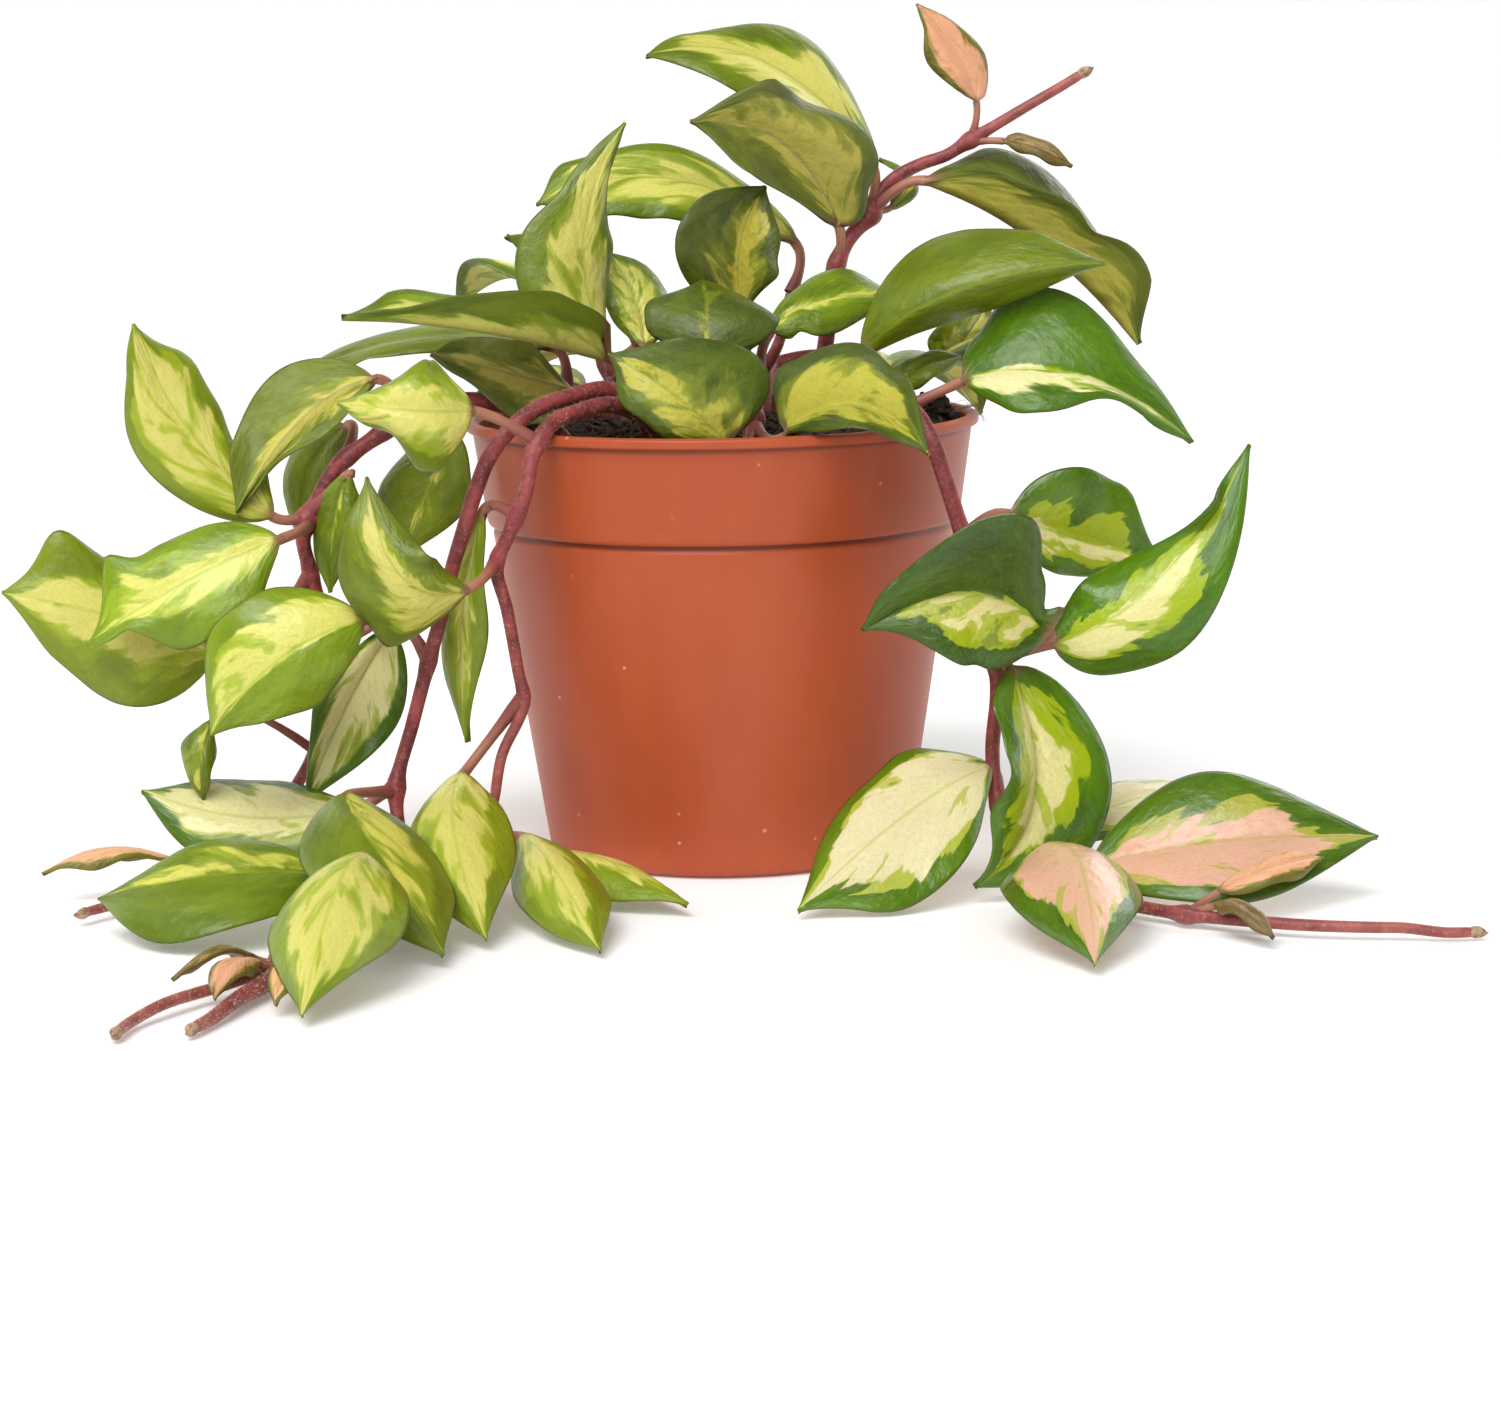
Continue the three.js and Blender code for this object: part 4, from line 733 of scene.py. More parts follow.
class Field:
    """A value that varies over a surface, and adds, subtracts and multiplies as a number does."""

    def __init__(self, nodes, socket):
        self.nodes = nodes
        self.socket = socket

    def __add__(self, other):
        return self.nodes.math("ADD", self, other)

    def __sub__(self, other):
        return self.nodes.math("SUBTRACT", self, other)

    def __rsub__(self, other):
        return self.nodes.math("SUBTRACT", other, self)

    def __mul__(self, other):
        return self.nodes.math("MULTIPLY", self, other)


class Nodes:
    """The nodes of a new material, with short names for making and linking them."""

    def __init__(self, name):
        self.material = bpy.data.materials.new(name)
        self.material.use_nodes = True
        self.tree = self.material.node_tree
        self.tree.nodes.clear()
        output = self.tree.nodes.new("ShaderNodeOutputMaterial")
        self.shader = self.tree.nodes.new("ShaderNodeBsdfPrincipled")
        self.tree.links.new(self.shader.outputs[0], output.inputs[0])

    def put(self, socket, value):
        if isinstance(value, Field):
            self.tree.links.new(value.socket, socket)
        else:
            socket.default_value = value

    def make(self, kind, inputs, **settings):
        """A new node, its inputs by name or number and its settings by name."""
        node = self.tree.nodes.new(kind)
        for key, value in settings.items():
            setattr(node, key, value)
        for key, value in inputs.items():
            self.put(node.inputs[key], value)
        return node

    def field(self, output, kind, inputs, **settings):
        return Field(self, self.make(kind, inputs, **settings).outputs[output])

    def math(self, operation, *values):
        return self.field(0, "ShaderNodeMath", dict(enumerate(values)), operation=operation)

    def mix(self, share, first, second):
        return self.field(2, "ShaderNodeMix", {0: share, 6: first, 7: second}, data_type="RGBA")

    def step(self, value, low, high):
        """Rises smoothly from 0 to 1 while the value goes from low to high."""
        inputs = {0: value, 1: low, 2: high}
        return self.field(0, "ShaderNodeMapRange", inputs, interpolation_type="SMOOTHSTEP")

    def noise(self, vector, scale, detail=3.0, roughness=0.55, distortion=0.0):
        return self.field(0, "ShaderNodeTexNoise", {"Vector": vector, "Scale": scale, "Detail": detail,
                                                    "Roughness": roughness, "Distortion": distortion})

    def cells(self, vector, scale):
        """Distance to the middle of the nearest cell, and two random values of that cell."""
        node = self.make("ShaderNodeTexVoronoi", {"Vector": vector, "Scale": scale})
        chance = self.make("ShaderNodeSeparateColor", {0: Field(self, node.outputs["Color"])})
        return [Field(self, socket) for socket in (node.outputs["Distance"], *chance.outputs[:2])]

    def join(self, x, y, z=0.0):
        return self.field(0, "ShaderNodeCombineXYZ", {0: x, 1: y, 2: z})

    def split(self, vector):
        return [Field(self, socket) for socket in self.make("ShaderNodeSeparateXYZ", {0: vector}).outputs]

    def place(self):
        """Place on the object."""
        return self.field("Object", "ShaderNodeTexCoord", {})

    def stretched(self, vector, scale, rotation=(0.0, 0.0, 0.0)):
        return self.field(0, "ShaderNodeMapping", {0: vector, "Scale": scale, "Rotation": rotation})

    def surface(self):
        """The two surface coordinates: along from base to tip, and across or round."""
        return self.split(self.field(0, "ShaderNodeUVMap", {}, uv_map="surface"))[:2]

    def own(self, name):
        """A value that each leaf has for itself."""
        return self.field("Fac", "ShaderNodeAttribute", {}, attribute_name=name)

    def paint(self, base, *coats):
        """Colours laid over the base, each as where, how strongly and which."""
        for where, strength, shade in coats:
            base = self.mix(where * strength, base, shade)
        return base

    def finish(self, base, height, strength, distance, levels):
        """Base colour, bump of the given strength and depth, and the shader's other levels."""
        bump = self.field(0, "ShaderNodeBump", {"Strength": strength, "Distance": distance, "Height": height})
        for name, value in {"Base Color": base, "Normal": bump, **levels}.items():
            self.put(self.shader.inputs[name], value)
        return self.material


# Leaf colours: margin, dark margin, patches beside the pale middle, the middle, how much of the middle
# the patches cover, and the width of the patched band between middle and margin
LEAF_LOOKS = {
    "yellow": ((112, 132, 14), (86, 106, 10), (144, 162, 26), (212, 207, 104), 0.42, 0.12),
    "lime": ((130, 150, 18), (108, 128, 12), (162, 180, 34), (214, 209, 108), 0.42, 0.12),
    "olive": ((88, 102, 12), (60, 74, 8), (124, 134, 26), (184, 175, 64), 0.42, 0.12),
    "green": ((114, 130, 16), (90, 108, 10), (142, 156, 34), (206, 198, 86), 0.45, 0.12),
    # This look is vivid's in darker greens: painted shade for leaves turned away from the light
    "deep": ((62, 96, 6), (42, 74, 6), (150, 168, 6), (216, 206, 138), 0.5, 0.26),
    "vivid": ((84, 124, 2), (58, 98, 2), (162, 180, 14), (222, 214, 146), 0.5, 0.26),
    "fresh": ((80, 116, 0), (60, 94, 0), (160, 182, 10), (236, 226, 168), 0.4, 0.14),
    "bronze": ((128, 110, 48), (106, 88, 40), (158, 130, 72), (180, 146, 92), 0.3, 0.1),
    "cream": ((80, 122, 4), (54, 94, 4), (166, 182, 44), (232, 226, 162), 0.3, 0.16),
    "white": ((92, 132, 4), (64, 104, 4), (178, 188, 70), (230, 221, 174), 0.16, 0.12),
    "pink": ((82, 120, 6), (56, 92, 6), (172, 172, 62), (226, 174, 148), 0.16, 0.12),
    "peach": ((128, 126, 34), (96, 94, 28), (216, 164, 98), (234, 176, 134), 0.25, 0.1),
    "under": ((100, 108, 26), (72, 82, 16), (126, 130, 36), (180, 168, 72), 0.42, 0.12),
}
EDGE_COLOUR = colour(74, 78, 30)
STALK_COLOUR = colour(150, 104, 80)
UNDER_COLOUR = colour(150, 150, 100)
UNDER_RIB_COLOUR = colour(160, 136, 100)
DARK_SPECK_COLOUR = colour(50, 40, 26)
PALE_SPECK_COLOUR = colour(226, 230, 214)

# Slant of what follows the side veins of a blade
VEIN_SLANT = 0.42

# Zones of a blade with soft and with crisp edges: where the middle fades out before tip and base, how
# far the margin widens there, how feathered the middle and the band are, where the middle's edge ends
# and how strong it is, where the band's edge lies and how strong the band is, and the patches' blur
SOFT_ZONES = SimpleNamespace(tip=0.72, base=0.06, ends=0.45, feather=0.2, edge=0.05, strength=0.45,
                             band_feather=0.3, band_from=-0.06, band_to=0.16, band=0.6, blur=0.03)
CRISP_ZONES = SimpleNamespace(tip=0.5, base=0.16, ends=0.6, feather=0.12, edge=0.03, strength=0.75,
                              band_feather=0.16, band_from=-0.03, band_to=0.05, band=0.92, blur=0.0)
CRISP_KINDS = ("deep", "vivid", "white", "pink")
BOLD_KINDS = ("deep", "vivid")
BOLD_PATCHES = 0.62


def leaf_material(kind, under):
    """A blade with a pale patched middle, a band beside it and a green margin.

    Along the blade u is 0 at the base and 1 at the tip, and v is -1 and 1 at the margins.
    """
    margin, dark, patch, centre = (colour(*shade) for shade in LEAF_LOOKS[kind][:4])
    patches, belt = LEAF_LOOKS[kind][4:]
    zones = CRISP_ZONES if kind in CRISP_KINDS else SOFT_ZONES
    bold = BOLD_PATCHES if kind in BOLD_KINDS else 1.0
    n = Nodes(f"leaf_{kind}_{'under' if under else 'upper'}")
    u, v = n.surface()
    seed = n.own("seed")
    away = n.math("ABSOLUTE", v)
    vein = u - away * VEIN_SLANT
    shift = seed * 37.0 + n.math("SIGN", v) * 5.0

    def streaks(along, across, offset, roughness, distortion):
        spot = n.join(vein * along, away * across, shift + offset)
        return n.noise(spot, 1.0, 3.0, roughness, distortion)

    coarse = streaks(4.4, 1.5, 0.0, 0.5, 0.4)
    second = streaks(5.2, 1.8, 7.0, 0.5, 0.4)
    fine = streaks(24.0, 4.0, 3.0, 0.6, 0.2)
    islands = streaks(6.0 * bold, 2.1 * bold, 11.0, 0.5, 0.5)
    broad = n.noise(n.join(u * 2.4, v * 1.4, shift), 1.0, 1.0, 0.5, 0.3)

    def wander(field, feather):
        return (field - 0.5) * 1.5 + (fine - 0.5) * feather + (broad - 0.5) * 0.7

    ends = n.step(u, 1.0, zones.tip) * n.step(u, -0.02, zones.base)
    rim = (1.0 - ends) * zones.ends + n.step(away, 0.62, 0.95) * 0.5
    limit = n.own("pale") * 0.92 - away - rim
    inner = limit + wander(coarse, zones.feather)
    edge = n.step(inner, -0.02, zones.edge) * zones.strength
    pale = edge + n.step(inner, -0.14, 0.18) * (1 - zones.strength)
    near = limit + belt + wander(second, zones.band_feather)
    band = n.step(near, zones.band_from, zones.band_to)
    cover = islands + (fine - 0.5) * 0.07 + (away - 0.35) * 0.16

    def covered(threshold):
        low = threshold - 0.3 * patches
        return n.step(cover, low - zones.blur, low + 0.03 + zones.blur)

    tone = n.noise(n.join(u * 4.0, v * 2.2, shift), 1.0, 4.0, 0.6)
    base = n.paint(n.mix(n.step(tone, 0.35, 0.7), margin, dark),
                   (n.step(away, 0.6, 1.0), 0.4, dark),
                   (n.step(fine, 0.5, 0.75), 0.1, patch),
                   (band, zones.band, patch))
    pale_colour = n.paint(centre,
                          (n.step(fine, 0.4, 0.8), 0.16, patch),
                          (covered(0.66), 0.8, patch),
                          (covered(0.75), 0.55, margin))
    grain = n.noise(n.join(u * 3.0, v, shift), 22.0, 5.0, 0.65)
    rib = n.step(away, 0.05, 0.012)
    base = n.paint(n.mix(pale, base, pale_colour),
                   (n.step(grain, 0.42, 0.72), 0.2, n.mix(0.5, patch, dark)),
                   (rib, 0.4, patch))
    if under:
        base = n.paint(n.mix(0.08, base, UNDER_COLOUR), (rib, 0.4, UNDER_RIB_COLOUR))
    gap, first_chance, second_chance = n.cells(n.join(u * 3.2, v, shift), 16.0)
    speck = n.step(gap, 0.085, 0.055)
    base = n.paint(base,
                   (speck * n.step(first_chance, 0.95, 0.96), 0.8, DARK_SPECK_COLOUR),
                   (speck * n.step(second_chance, 0.93, 0.94), 0.5, PALE_SPECK_COLOUR),
                   (n.step(away, 0.955, 0.99), 0.55, EDGE_COLOUR))
    base = n.field(0, "ShaderNodeHueSaturation", {
        "Color": base, "Hue": seed * 0.02 + 0.49, "Value": broad * 0.22 + seed * 0.1 + 0.82})
    base = n.mix(n.step(u, 0.05, -0.02), base, STALK_COLOUR)

    veins = n.field("Fac", "ShaderNodeTexWave", {
        "Vector": n.join(vein, 0.0), "Scale": 3.6, "Distortion": 2.5}, wave_type="BANDS", bands_direction="X")
    quilt = n.noise(n.join(u * 9.0, v * 3.4, shift), 1.0)
    pores = n.noise(n.join(u * 3.0, v, shift), 45.0, 2.0)
    glossy = kind in CRISP_KINDS and not under
    return n.finish(base, veins * 0.08 + pores * 0.12 + quilt * 2.0, 0.5, 0.0007, {
        "Roughness": 0.28 if glossy else 0.44 if under or kind == "olive" else 0.36,
        "Specular IOR Level": 0.32 if under else 0.4,
        "Coat Weight": 0.18 if glossy else 0.0 if under else 0.08,
        "Coat Roughness": 0.14,
        "Subsurface Weight": 0.06,
        "Subsurface Radius": (0.9, 1.0, 0.35),
        "Subsurface Scale": 0.001,
    })


def stem_material():
    """Maroon stem, paler and browner towards its young end."""
    n = Nodes("stem")
    place = n.place()
    along = n.surface()[0]
    blotch = n.noise(place, 160.0, 4.0, 0.6)
    fine = n.noise(place, 900.0, 3.0, 0.6)
    old = n.mix(n.step(blotch, 0.35, 0.65), colour(106, 38, 40), colour(152, 62, 64))
    young = n.mix(n.step(blotch, 0.3, 0.7), colour(142, 66, 62), colour(172, 96, 84))
    base = n.paint(n.mix(n.step(along, 0.6, 1.0), old, young),
                   (n.step(fine, 0.5, 0.72), 0.36, colour(186, 124, 108)))
    return n.finish(base, fine + blotch, 0.5, 0.0004, {
        "Roughness": 0.5, "Sheen Weight": 0.35, "Sheen Roughness": 0.35, "Sheen Tint": colour(240, 214, 196)})


def stalk_material():
    """Leaf stalk, maroon at the stem and brownish green at the blade."""
    n = Nodes("stalk")
    place = n.place()
    blotch = n.noise(place, 220.0, 4.0, 0.6)
    root = n.mix(blotch, colour(120, 52, 54), colour(150, 78, 70))
    outer = n.mix(blotch, colour(158, 96, 78), colour(182, 132, 104))
    base = n.mix(n.step(n.surface()[0], STALK_FROM, -0.12), root, outer)
    return n.finish(base, n.noise(place, 700.0), 0.4, 0.0003, {"Roughness": 0.48})


def grained_material(name, low, high, scale, roughness, depth):
    n = Nodes(name)
    place = n.place()
    grain = n.noise(place, scale, 5.0, 0.6)
    base = n.mix(n.step(grain, 0.3, 0.7), colour(*low), colour(*high))
    return n.finish(base, n.noise(place, scale * 4, 4.0), 0.6, depth, {"Roughness": roughness})


STEM = stem_material()
STALK = stalk_material()
HAIR = grained_material("fuzz", (214, 196, 168), (232, 218, 196), 300.0, 0.7, 0.0001)
BUD = grained_material("bud", (120, 84, 62), (196, 166, 134), 700.0, 0.6, 0.0002)
LEAVES = {(kind, under): leaf_material(kind, under) for kind in LEAF_LOOKS for under in (False, True)}
PEAT = grained_material("peat", (22, 14, 9), (58, 38, 24), 420.0, 0.95, 0.0012)
CHIP = grained_material("bark", (34, 22, 14), (84, 56, 36), 380.0, 0.9, 0.0003)
FIBRE = grained_material("peat_fibre", (70, 46, 28), (118, 84, 54), 500.0, 0.9, 0.0002)
ROOT = grained_material("root", (120, 104, 84), (178, 164, 140), 500.0, 0.8, 0.0001)

# Leafy stems

# Height above which a stem has left the soil and has hairs, and the number of points above which a
# stem ends in a bud, as does one whose end lies lower than the height given
HAIRS_FROM = 94
SHORT_STEM = 6
LYING_END = 6


def build_leafy_stem(name, stems, leaves):
    skin = Skin()
    kinds = sorted({leaf.kind for leaf in leaves})
    materials = [STEM, STALK, HAIR, BUD]
    materials += [LEAVES[kind, under] for kind in kinds for under in (False, True)]
    stem_slot, stalk_slot, hair_slot, bud_slot, first_leaf_slot = range(5)
    joints = [leaf.root for leaf in leaves]
    for i, points in enumerate(stems):
        line, radius, across, up = add_stem(skin, points, joints, stem_slot, rng.random())
        if len(points) > SHORT_STEM or line[-1, 2] < LYING_END:
            add_bud(skin, line[-3], line[-9], bud_slot)
        start = 0 if i else np.argmax(line[:, 2] > HAIRS_FROM) + 1
        add_hairs(skin, line[start:], radius[start:], across[start:], up[start:], hair_slot)
    for leaf in leaves:
        leaf.seed = rng.random()
        slot = first_leaf_slot + 2 * kinds.index(leaf.kind)
        add_leaf(skin, leaf, slot, slot + 1, stalk_slot)
    skin.build(f"{name}_foliage", materials, name)


for stem_name, (stems, leaves) in LEAFY_STEMS.items():
    build_leafy_stem(stem_name, stems, leaves)

# Pot

LIP_RADIUS, POT_HEIGHT, LIP_HEIGHT = 60.0, 102.3, 2.5
COLLAR_TOP_RADIUS, COLLAR_BOTTOM_RADIUS, COLLAR_BOTTOM = 58.4, 55.4, 78.0
BODY_TOP_RADIUS, BASE_RADIUS, WALL, FLOOR = 54.2, 42.7, 1.5, 2.0
CORNER_REACH, CORNER_STEPS, POT_SIDES = 0.45, 4, 160
DRAIN_HOLES, DRAIN_RADIUS, DRAIN_RING, DRAIN_CELL = 8, 3.5, 30.0, 6.0
DRAIN_CORNER, DRAIN_SIDES, DISC_SIDES = 0.3, 64, 48
# Painted shade in the creases under the collar and under the lip: from, to and how dark
LIP = POT_HEIGHT - LIP_HEIGHT
PAINTED_CREASE_SHADE = ((COLLAR_BOTTOM - 1.8, COLLAR_BOTTOM + 0.1, 0.75), (LIP - 1.4, LIP + 0.1, 0.6))
# Radius of the last small ring where a surface closes in the middle
POINT = 0.01


def pot_material():
    """Terracotta-coloured plastic with faint runs, dust, grit, scratches and painted shade in its creases."""
    n = Nodes("terracotta_plastic")
    place = n.place()
    runs = n.noise(n.stretched(place, (1.0, 1.0, 0.25)), 55.0, 5.0, 0.6)
    mottle = n.noise(place, 28.0, 4.0, 0.55)
    base = n.paint(n.mix(n.step(runs, 0.3, 0.7), colour(170, 74, 40), colour(178, 81, 45)),
                   (n.step(mottle, 0.4, 0.75), 0.2, colour(186, 92, 56)))
    height = n.split(place)[2]
    # Painted shade: darker bands in the creases under the collar and under the lip
    for low, top, strength in PAINTED_CREASE_SHADE:
        deepest = 0.7 * top + 0.3 * low
        crease_shade = n.step(height, low * MM, deepest * MM) * n.step(height, top * MM, deepest * MM)
        base = n.paint(base, (crease_shade, strength, colour(84, 34, 18)))
    gap, first_chance, second_chance = n.cells(place, 260.0)
    base = n.paint(base,
                   (n.step(gap, 0.16, 0.06) * n.step(first_chance, 0.965, 0.97), 0.6, colour(226, 176, 150)),
                   (n.step(gap, 0.14, 0.06) * n.step(second_chance, 0.985, 0.99), 0.8, colour(60, 30, 18)))
    scratches = n.noise(n.stretched(place, (0.15, 1.0, 1.0), (0.0, 0.4, 0.3)), 520.0, 2.0, 0.5)
    relief = runs * 0.3 + n.step(scratches, 0.7, 0.76) * -0.35
    return n.finish(base, relief, 0.18, 0.0005, {"Roughness": 0.4, "Specular IOR Level": 0.34})


def rounded(points):
    """An outline whose corners are rounded by quadratic curves."""
    points = [np.array(point, float) for point in points]
    out = [points[0]]
    for before, corner, after in zip(points, points[1:], points[2:]):
        lengths = np.linalg.norm(corner - before), np.linalg.norm(after - corner)
        near = min(CORNER_REACH, 0.45 * min(lengths))
        first = corner + unit(before - corner) * near
        second = corner + unit(after - corner) * near
        for t in np.linspace(0, 1, CORNER_STEPS + 1):
            out.append(first * (1 - t) ** 2 + corner * 2 * t * (1 - t) + second * t**2)
    out.append(points[-1])
    return np.array(out)


def polar(radii, heights, turn):
    radii, heights, turn = np.broadcast_arrays(np.asarray(radii, float), np.asarray(heights, float), turn)
    return np.stack([radii * np.cos(turn), radii * np.sin(turn), heights], -1)


def add_floor(skin, slot):
    """The pot's floor: one cell round every drain hole, its wall, and a disc in the middle."""
    around = circle(DRAIN_SIDES)
    square = np.stack([np.cos(around), np.sin(around)], -1)
    hole_rim = square * DRAIN_RADIUS + (DRAIN_RING, 0)
    square /= np.abs(square).max(1, keepdims=True)
    for hole in range(DRAIN_HOLES):
        turn = ROUND * hole / DRAIN_HOLES
        cosine, sine = math.cos(turn), math.sin(turn)
        rim = hole_rim @ np.array([(cosine, sine), (-sine, cosine)])
        edge = polar(DRAIN_RING + DRAIN_CELL * square[:, 0], 0, turn + np.pi / DRAIN_HOLES * square[:, 1])
        edge = edge[:, :2]
        near = rim * 0.9 + edge * 0.1
        levels = ((edge, 0), (near, 0), (rim, DRAIN_CORNER),
                  (rim, FLOOR - DRAIN_CORNER), (near, FLOOR), (edge, FLOOR))
        rings = [np.column_stack([flat, np.full(DRAIN_SIDES, height)]) for flat, height in levels]
        skin.add(np.concatenate(rings), ring_faces(len(rings), DRAIN_SIDES)[:, ::-1], slot)
    inner = DRAIN_RING - DRAIN_CELL
    radii = np.array([[inner], [inner / 2], [POINT]])
    for height, order in ((0.0, -1), (FLOOR, 1)):
        disc = polar(radii[::order], height, circle(DISC_SIDES)).reshape(-1, 3)
        skin.add(disc, ring_faces(len(radii), DISC_SIDES)[:, ::-1], slot)


def build_pot():
    inner = DRAIN_RING + DRAIN_CELL
    profile = rounded([
        (inner, 0), (BASE_RADIUS - 2.6, 0), (BASE_RADIUS - 1.6, 0.5), (BASE_RADIUS, 1.8),
        (BODY_TOP_RADIUS, COLLAR_BOTTOM - 2.0), (BODY_TOP_RADIUS - 0.45, COLLAR_BOTTOM - 1.0),
        (BODY_TOP_RADIUS - 0.45, COLLAR_BOTTOM - 0.2), (COLLAR_BOTTOM_RADIUS - 0.3, COLLAR_BOTTOM),
        (COLLAR_BOTTOM_RADIUS + 0.1, COLLAR_BOTTOM + 0.8),
        (COLLAR_TOP_RADIUS, LIP - 0.2), (COLLAR_TOP_RADIUS + 0.2, LIP), (LIP_RADIUS - 0.1, LIP + 0.1),
        (LIP_RADIUS, POT_HEIGHT - 0.5), (LIP_RADIUS - 0.9, POT_HEIGHT), (LIP_RADIUS - 2.2, POT_HEIGHT - 0.1),
        (LIP_RADIUS - 3.1, POT_HEIGHT - 0.9), (COLLAR_TOP_RADIUS - WALL, LIP),
        (COLLAR_BOTTOM_RADIUS - WALL, COLLAR_BOTTOM + 0.6), (BODY_TOP_RADIUS - WALL, COLLAR_BOTTOM - 1.2),
        (BASE_RADIUS - WALL, FLOOR + 0.2), (BASE_RADIUS - WALL - 1, FLOOR), (inner, FLOOR)])
    turn = circle(POT_SIDES)
    rings = polar(profile[:, :1], profile[:, 1:], turn).reshape(-1, 3)
    where = np.stack([np.repeat(profile[:, 1], POT_SIDES), np.tile(turn, len(profile))], -1)
    skin = Skin()
    skin.add(rings, ring_faces(len(profile), POT_SIDES), 0, where)
    add_floor(skin, 0)
    skin.build("nursery_pot", [pot_material()], "pot")


build_pot()

# Soil

SOIL_GAP, SOIL_EDGE, SOIL_RISE = 0.35, 95.0, 5.0
SOIL_HEAP, SOIL_HEAP_AT, SOIL_HEAP_SIZE = 9.0, (50, 2), 10.0
SOIL_SIDES, SOIL_RINGS = 120, 46
# How much further than the gap the scene's soil stays off the wall below and at the top
SOIL_INSET, SOIL_TOP_INSET = 0.2, 0.9
CHIP_RADIUS, FIBRE_RADIUS, FIBRE_REACH = 53.5, 52, 54
FIBRE_POINTS = 5
THREAD_SIDES, THREAD_STEPS, THREAD_TIP = 5, 5, 0.35
# Chips: how many, shortest and longest half length, and thickness
CHIPS = ((900, (0.5, 1.6), 0.25), (60, (1.4, 3.2), 0.45))
FIBRES = 260
RIM_ROOTS, RIM_ROOT_RADIUS = 9, 0.07


def soil_height(x, y):
    share = np.minimum(np.hypot(x, y) / COLLAR_TOP_RADIUS, 1)
    heap = np.hypot(x - SOIL_HEAP_AT[0], y - SOIL_HEAP_AT[1]) / SOIL_HEAP_SIZE
    crumbs = 0.5 * np.sin(0.31 * x + 0.22 * y) + 0.4 * np.sin(0.47 * y - 0.26 * x + 1)
    return SOIL_EDGE + SOIL_RISE * (1 - share**2) + SOIL_HEAP * np.exp(-(heap**2)) + 0.02 * y + crumbs


def clods(x, y):
    """Small rough lumps on the soil, in millimetres."""
    return np.array([0.9 * noise.fractal(Vector((a * 0.45, b * 0.45, 0.0)), 1.0, 2.2, 4)
                     - 0.5 * abs(noise.noise(Vector((a * 0.9, b * 0.9, 5.0)))) for a, b in zip(x, y)])


def add_soil(skin, slot):
    """One closed lump of peat, from the pot's floor up its wall and over the top."""
    turn = circle(SOIL_SIDES)
    bottom = FLOOR + SOIL_GAP

    def wall(height):
        share = height / COLLAR_BOTTOM
        return BASE_RADIUS + (BODY_TOP_RADIUS - BASE_RADIUS) * share - WALL - SOIL_GAP - SOIL_INSET

    low = [(POINT, bottom), (wall(bottom) - 1.2, bottom), (wall(bottom + 2), bottom + 2),
           (wall(COLLAR_BOTTOM - 2), COLLAR_BOTTOM - 2),
           (COLLAR_BOTTOM_RADIUS - WALL - SOIL_GAP - SOIL_INSET, COLLAR_BOTTOM + 2)]
    sides = [polar(radius, height, turn) for radius, height in low]
    top_radius = COLLAR_TOP_RADIUS - WALL - SOIL_GAP - SOIL_TOP_INSET
    radii = top_radius * np.linspace(1, 0, SOIL_RINGS) ** 0.9 + POINT
    top = polar(radii[:, None], 0.0, turn).reshape(-1, 3)
    top[:, 2] = soil_height(top[:, 0], top[:, 1]) + clods(top[:, 0], top[:, 1])
    skin.add(np.concatenate([*sides, top]), ring_faces(len(low) + SOIL_RINGS, SOIL_SIDES), slot)


def random_spot(reach):
    """A random spot on the soil, as likely near the edge as in the middle."""
    radius, turn = reach * math.sqrt(rng.random()), rng.random() * ROUND
    return np.array([radius * math.cos(turn), radius * math.sin(turn)])


def add_chips(skin, count, sizes, thickness, slot):
    """Flat broken chips scattered on the soil, each a bent slab of eight corners."""
    faces = np.array([(3, 2, 1, 0), (4, 5, 6, 7), (1, 5, 4, 0), (2, 6, 5, 1), (3, 7, 6, 2), (0, 4, 7, 3)])
    for _ in range(count):
        spot = random_spot(CHIP_RADIUS)
        long, wide = rng.uniform(*sizes), rng.uniform(*sizes) * 0.5
        flat = np.array([(-1, -1, 0), (1, -1, 0), (1, 1, 0), (-1, 1, 0)]) * (long, wide, 0)
        flat = flat + rng.normal(0, 0.2, (4, 3)) * (long, wide, thickness)
        slab = np.concatenate([flat + (0, 0, thickness), flat * 0.85 - (0, 0, thickness)])
        angles = rng.normal(0, 0.45), rng.normal(0, 0.45), rng.random() * ROUND
        slab = slab @ np.array(Euler(angles).to_matrix()).T
        height = soil_height(*spot) + 0.35 + 0.25 * thickness
        skin.add(slab + (*spot, height), faces, slot)


def add_thread(skin, points, thick, slot):
    """A thin round thread along a smooth curve, such as a fine root or a fibre."""
    line = smooth_line(points, THREAD_STEPS)
    radii = thick * np.linspace(1, THREAD_TIP, len(line))[:, None]
    rings = tube(line, radii, THREAD_SIDES)[0]
    skin.add(rings, ring_faces(len(line), THREAD_SIDES), slot)


def add_fibre(skin, slot):
    """One fibre of peat that wanders over the soil, a little above it between its ends."""
    point = random_spot(FIBRE_RADIUS)
    heading, points = rng.random() * ROUND, []
    for step in range(FIBRE_POINTS):
        lift = rng.random() * 1.2 if 0 < step < FIBRE_POINTS - 1 else 0
        points.append((*point, soil_height(*point) + 0.5 + lift))
        heading += rng.normal(0, 0.5)
        point = point + np.array([math.cos(heading), math.sin(heading)]) * rng.uniform(0.8, 2.2)
        point = point * min(1, FIBRE_REACH / np.hypot(*point))
    add_thread(skin, points, rng.uniform(0.06, 0.16), slot)


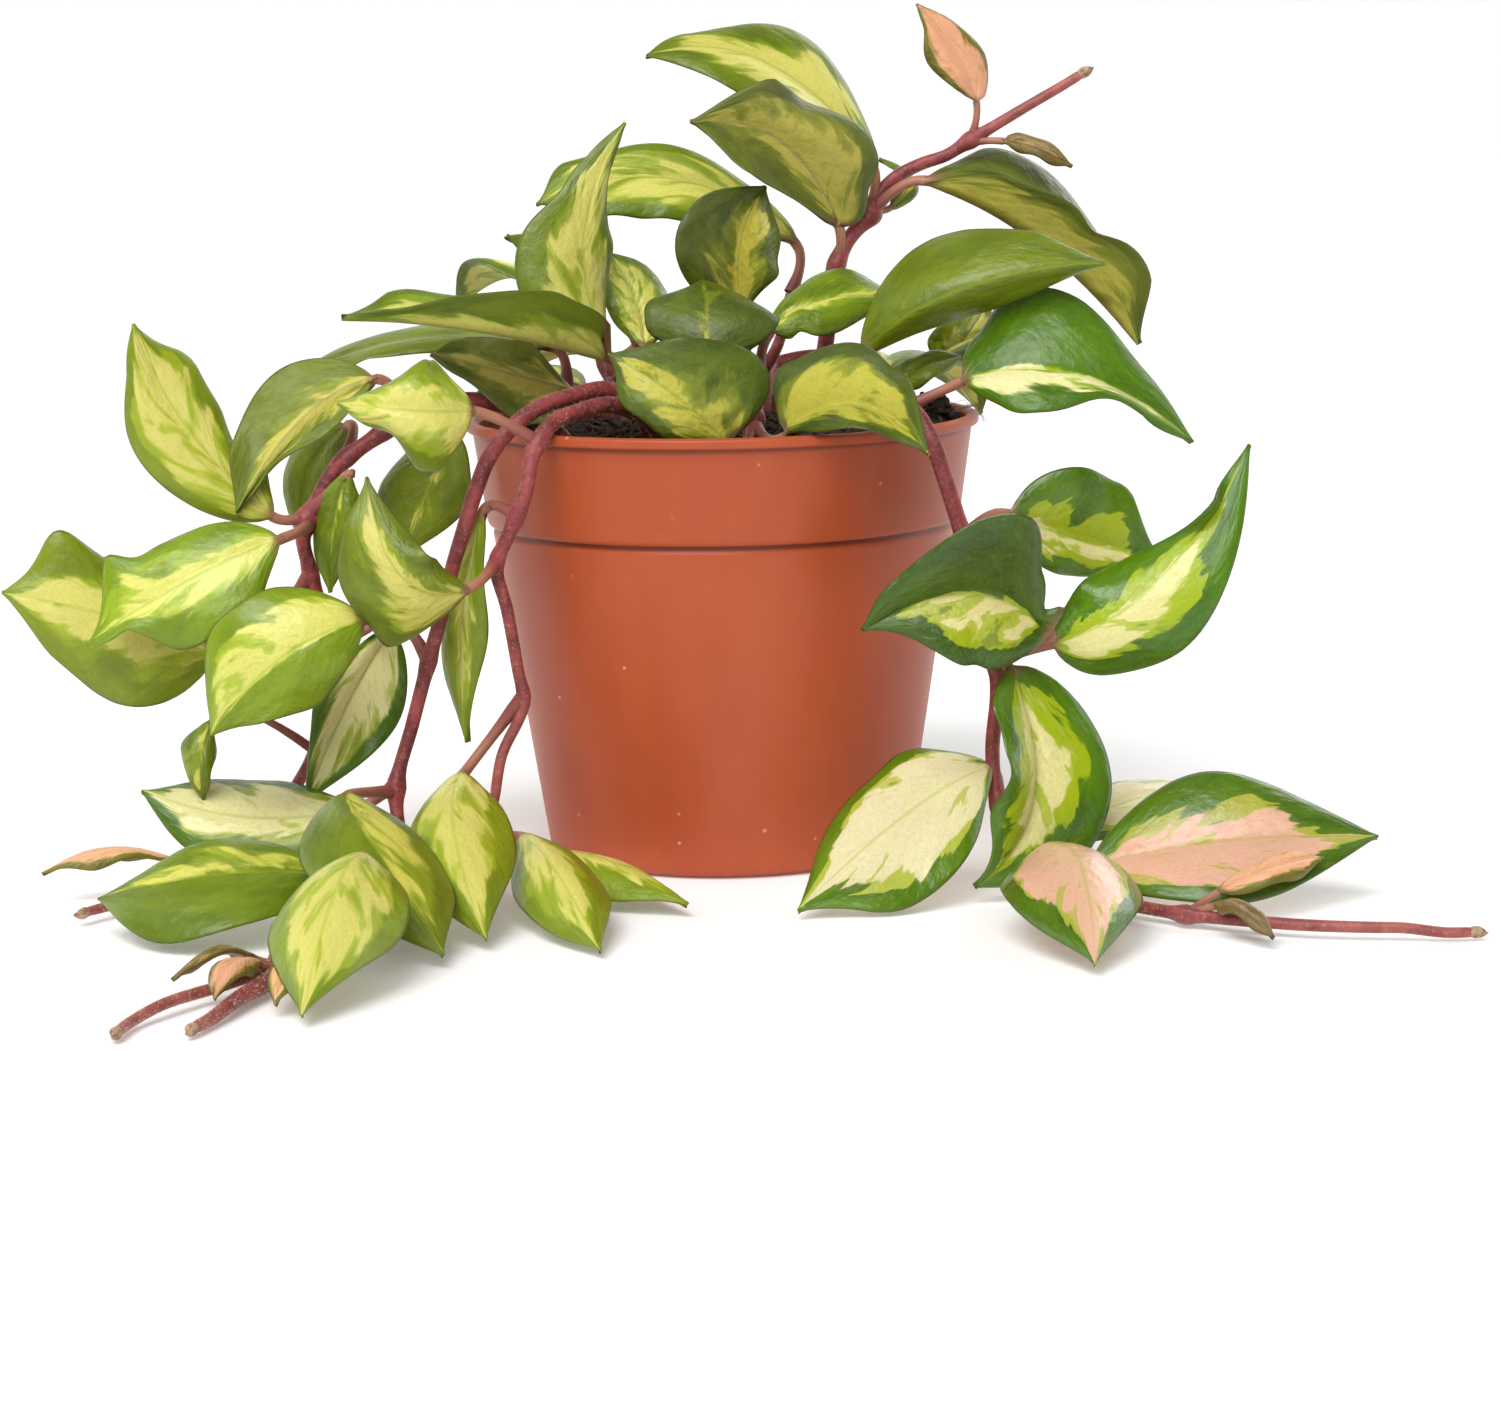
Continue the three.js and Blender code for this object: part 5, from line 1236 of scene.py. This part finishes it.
def add_rim_root(skin, slot):
    """A fine root that hangs out over the rim beside the heap."""
    start, drop = rng.uniform(-0.1, 0.25), rng.uniform(1.0, 4.0)
    line = ((51, 101), (56, 102.6), (59.5, 103.2), (60.6, 102.4 - drop * 0.4),
            (60.9 + rng.uniform(0, 1.2), 101.5 - drop * 1.6))
    points = [polar(radius, height, start + 0.01 * i) for i, (radius, height) in enumerate(line)]
    add_thread(skin, points, RIM_ROOT_RADIUS, slot)


def build_soil():
    skin = Skin()
    add_soil(skin, 0)
    for chips in CHIPS:
        add_chips(skin, *chips, 1)
    for _ in range(FIBRES):
        add_fibre(skin, 2)
    for _ in range(RIM_ROOTS):
        add_rim_root(skin, 3)
    skin.build("peat", [PEAT, CHIP, FIBRE, ROOT], "soil")


build_soil()

# Camera, fitted to the pot in the photo: focal length and width in pixels, angles in radians, metres

FOCAL, IMAGE_WIDTH = 3590.0, 1500.0
PITCH, YAW, ROLL = 0.1724, 0.0122, 0.0171
CAMERA_PLACE = (-0.0049, -0.8404, 0.1778)
SENSOR = 36.0

scene = bpy.context.scene
ahead = Vector((math.sin(YAW) * math.cos(PITCH), math.cos(YAW) * math.cos(PITCH), -math.sin(PITCH)))
level = Vector((math.cos(YAW), -math.sin(YAW), 0.0))
upright = level.cross(ahead)
right = level * math.cos(ROLL) - upright * math.sin(ROLL)
above = level * math.sin(ROLL) + upright * math.cos(ROLL)
camera = bpy.data.objects.new("camera", bpy.data.cameras.new("camera"))
scene.collection.objects.link(camera)
camera.data.sensor_width = SENSOR
camera.data.lens = SENSOR * FOCAL / IMAGE_WIDTH
camera.data.clip_start, camera.data.clip_end = 0.05, 20.0
camera.matrix_world = Matrix.Translation(CAMERA_PLACE) @ Matrix((right, above, -ahead)).transposed().to_4x4()
scene.camera = camera

# Lights: name, energy, place, height of the target, and width and height of a softbox in metres, or
# the sun's angle in degrees

LIGHTS = (
    ("key", 1.6, (-0.35, -1.6, 1.35), 0.05, 45),
    ("softbox", 13.0, (-0.45, -0.75, 1.25), 0.08, (1.1, 0.7)),
    ("back", 5.0, (0.7, 1.0, 0.9), 0.08, (0.8, 0.8)),
    ("strip_left", 1.8, (-1.0, 0.25, 0.45), 0.1, (0.3, 0.9)),
    ("strip_right", 1.8, (1.0, 0.25, 0.45), 0.1, (0.3, 0.9)),
)
SKY_STRENGTH = 0.2

for name, energy, place, target, size in LIGHTS:
    is_sun = name == "key"
    data = bpy.data.lights.new(name, "SUN" if is_sun else "AREA")
    data.energy = energy
    if is_sun:
        data.angle = math.radians(size)
    else:
        data.shape = "RECTANGLE"
        data.size, data.size_y = size
    light = bpy.data.objects.new(name, data)
    scene.collection.objects.link(light)
    light.location = place
    light.rotation_euler = (Vector((0, 0, target)) - light.location).to_track_quat("-Z", "Y").to_euler()

world = bpy.data.worlds.new("studio")
world.use_nodes = True
background = world.node_tree.nodes["Background"]
background.inputs[0].default_value = (1, 1, 1, 1)
background.inputs[1].default_value = SKY_STRENGTH
scene.world = world
scene.view_settings.view_transform = "Standard"

# Paper sweep: a floor that curves up into a wall behind the plant, in metres

SWEEP_FRONT, SWEEP_BACK, SWEEP_RADIUS, SWEEP_TOP, HALF_WIDTH = -7.0, 1.2, 0.9, 2.6, 7.0

sweep = [(y, 0.0) for y in (SWEEP_FRONT, -2.2, -1.2, -0.6, 0, 0.6, SWEEP_BACK)]
sweep += [(SWEEP_BACK + SWEEP_RADIUS * math.sin(a), SWEEP_RADIUS * (1 - math.cos(a)))
          for a in np.linspace(0.1, math.pi / 2, 16)]
sweep += [(SWEEP_BACK + SWEEP_RADIUS, SWEEP_TOP)]
floor_mesh = bpy.data.meshes.new("studio_floor")
floor_faces = [(2 * i, 2 * i + 1, 2 * i + 3, 2 * i + 2) for i in range(len(sweep) - 1)]
floor_mesh.from_pydata([(x, y, z) for y, z in sweep for x in (-HALF_WIDTH, HALF_WIDTH)], [], floor_faces)
floor_mesh.polygons.foreach_set("use_smooth", [True] * len(floor_faces))
studio_floor = bpy.data.objects.new("studio_floor", floor_mesh)
scene.collection.objects.link(studio_floor)
paper = Nodes("paper")
for level_name, value in {"Base Color": (0.9, 0.9, 0.9, 1), "Emission Color": (1, 1, 1, 1),
                          "Emission Strength": 0.12, "Roughness": 0.8}.items():
    paper.put(paper.shader.inputs[level_name], value)
floor_mesh.materials.append(paper.material)
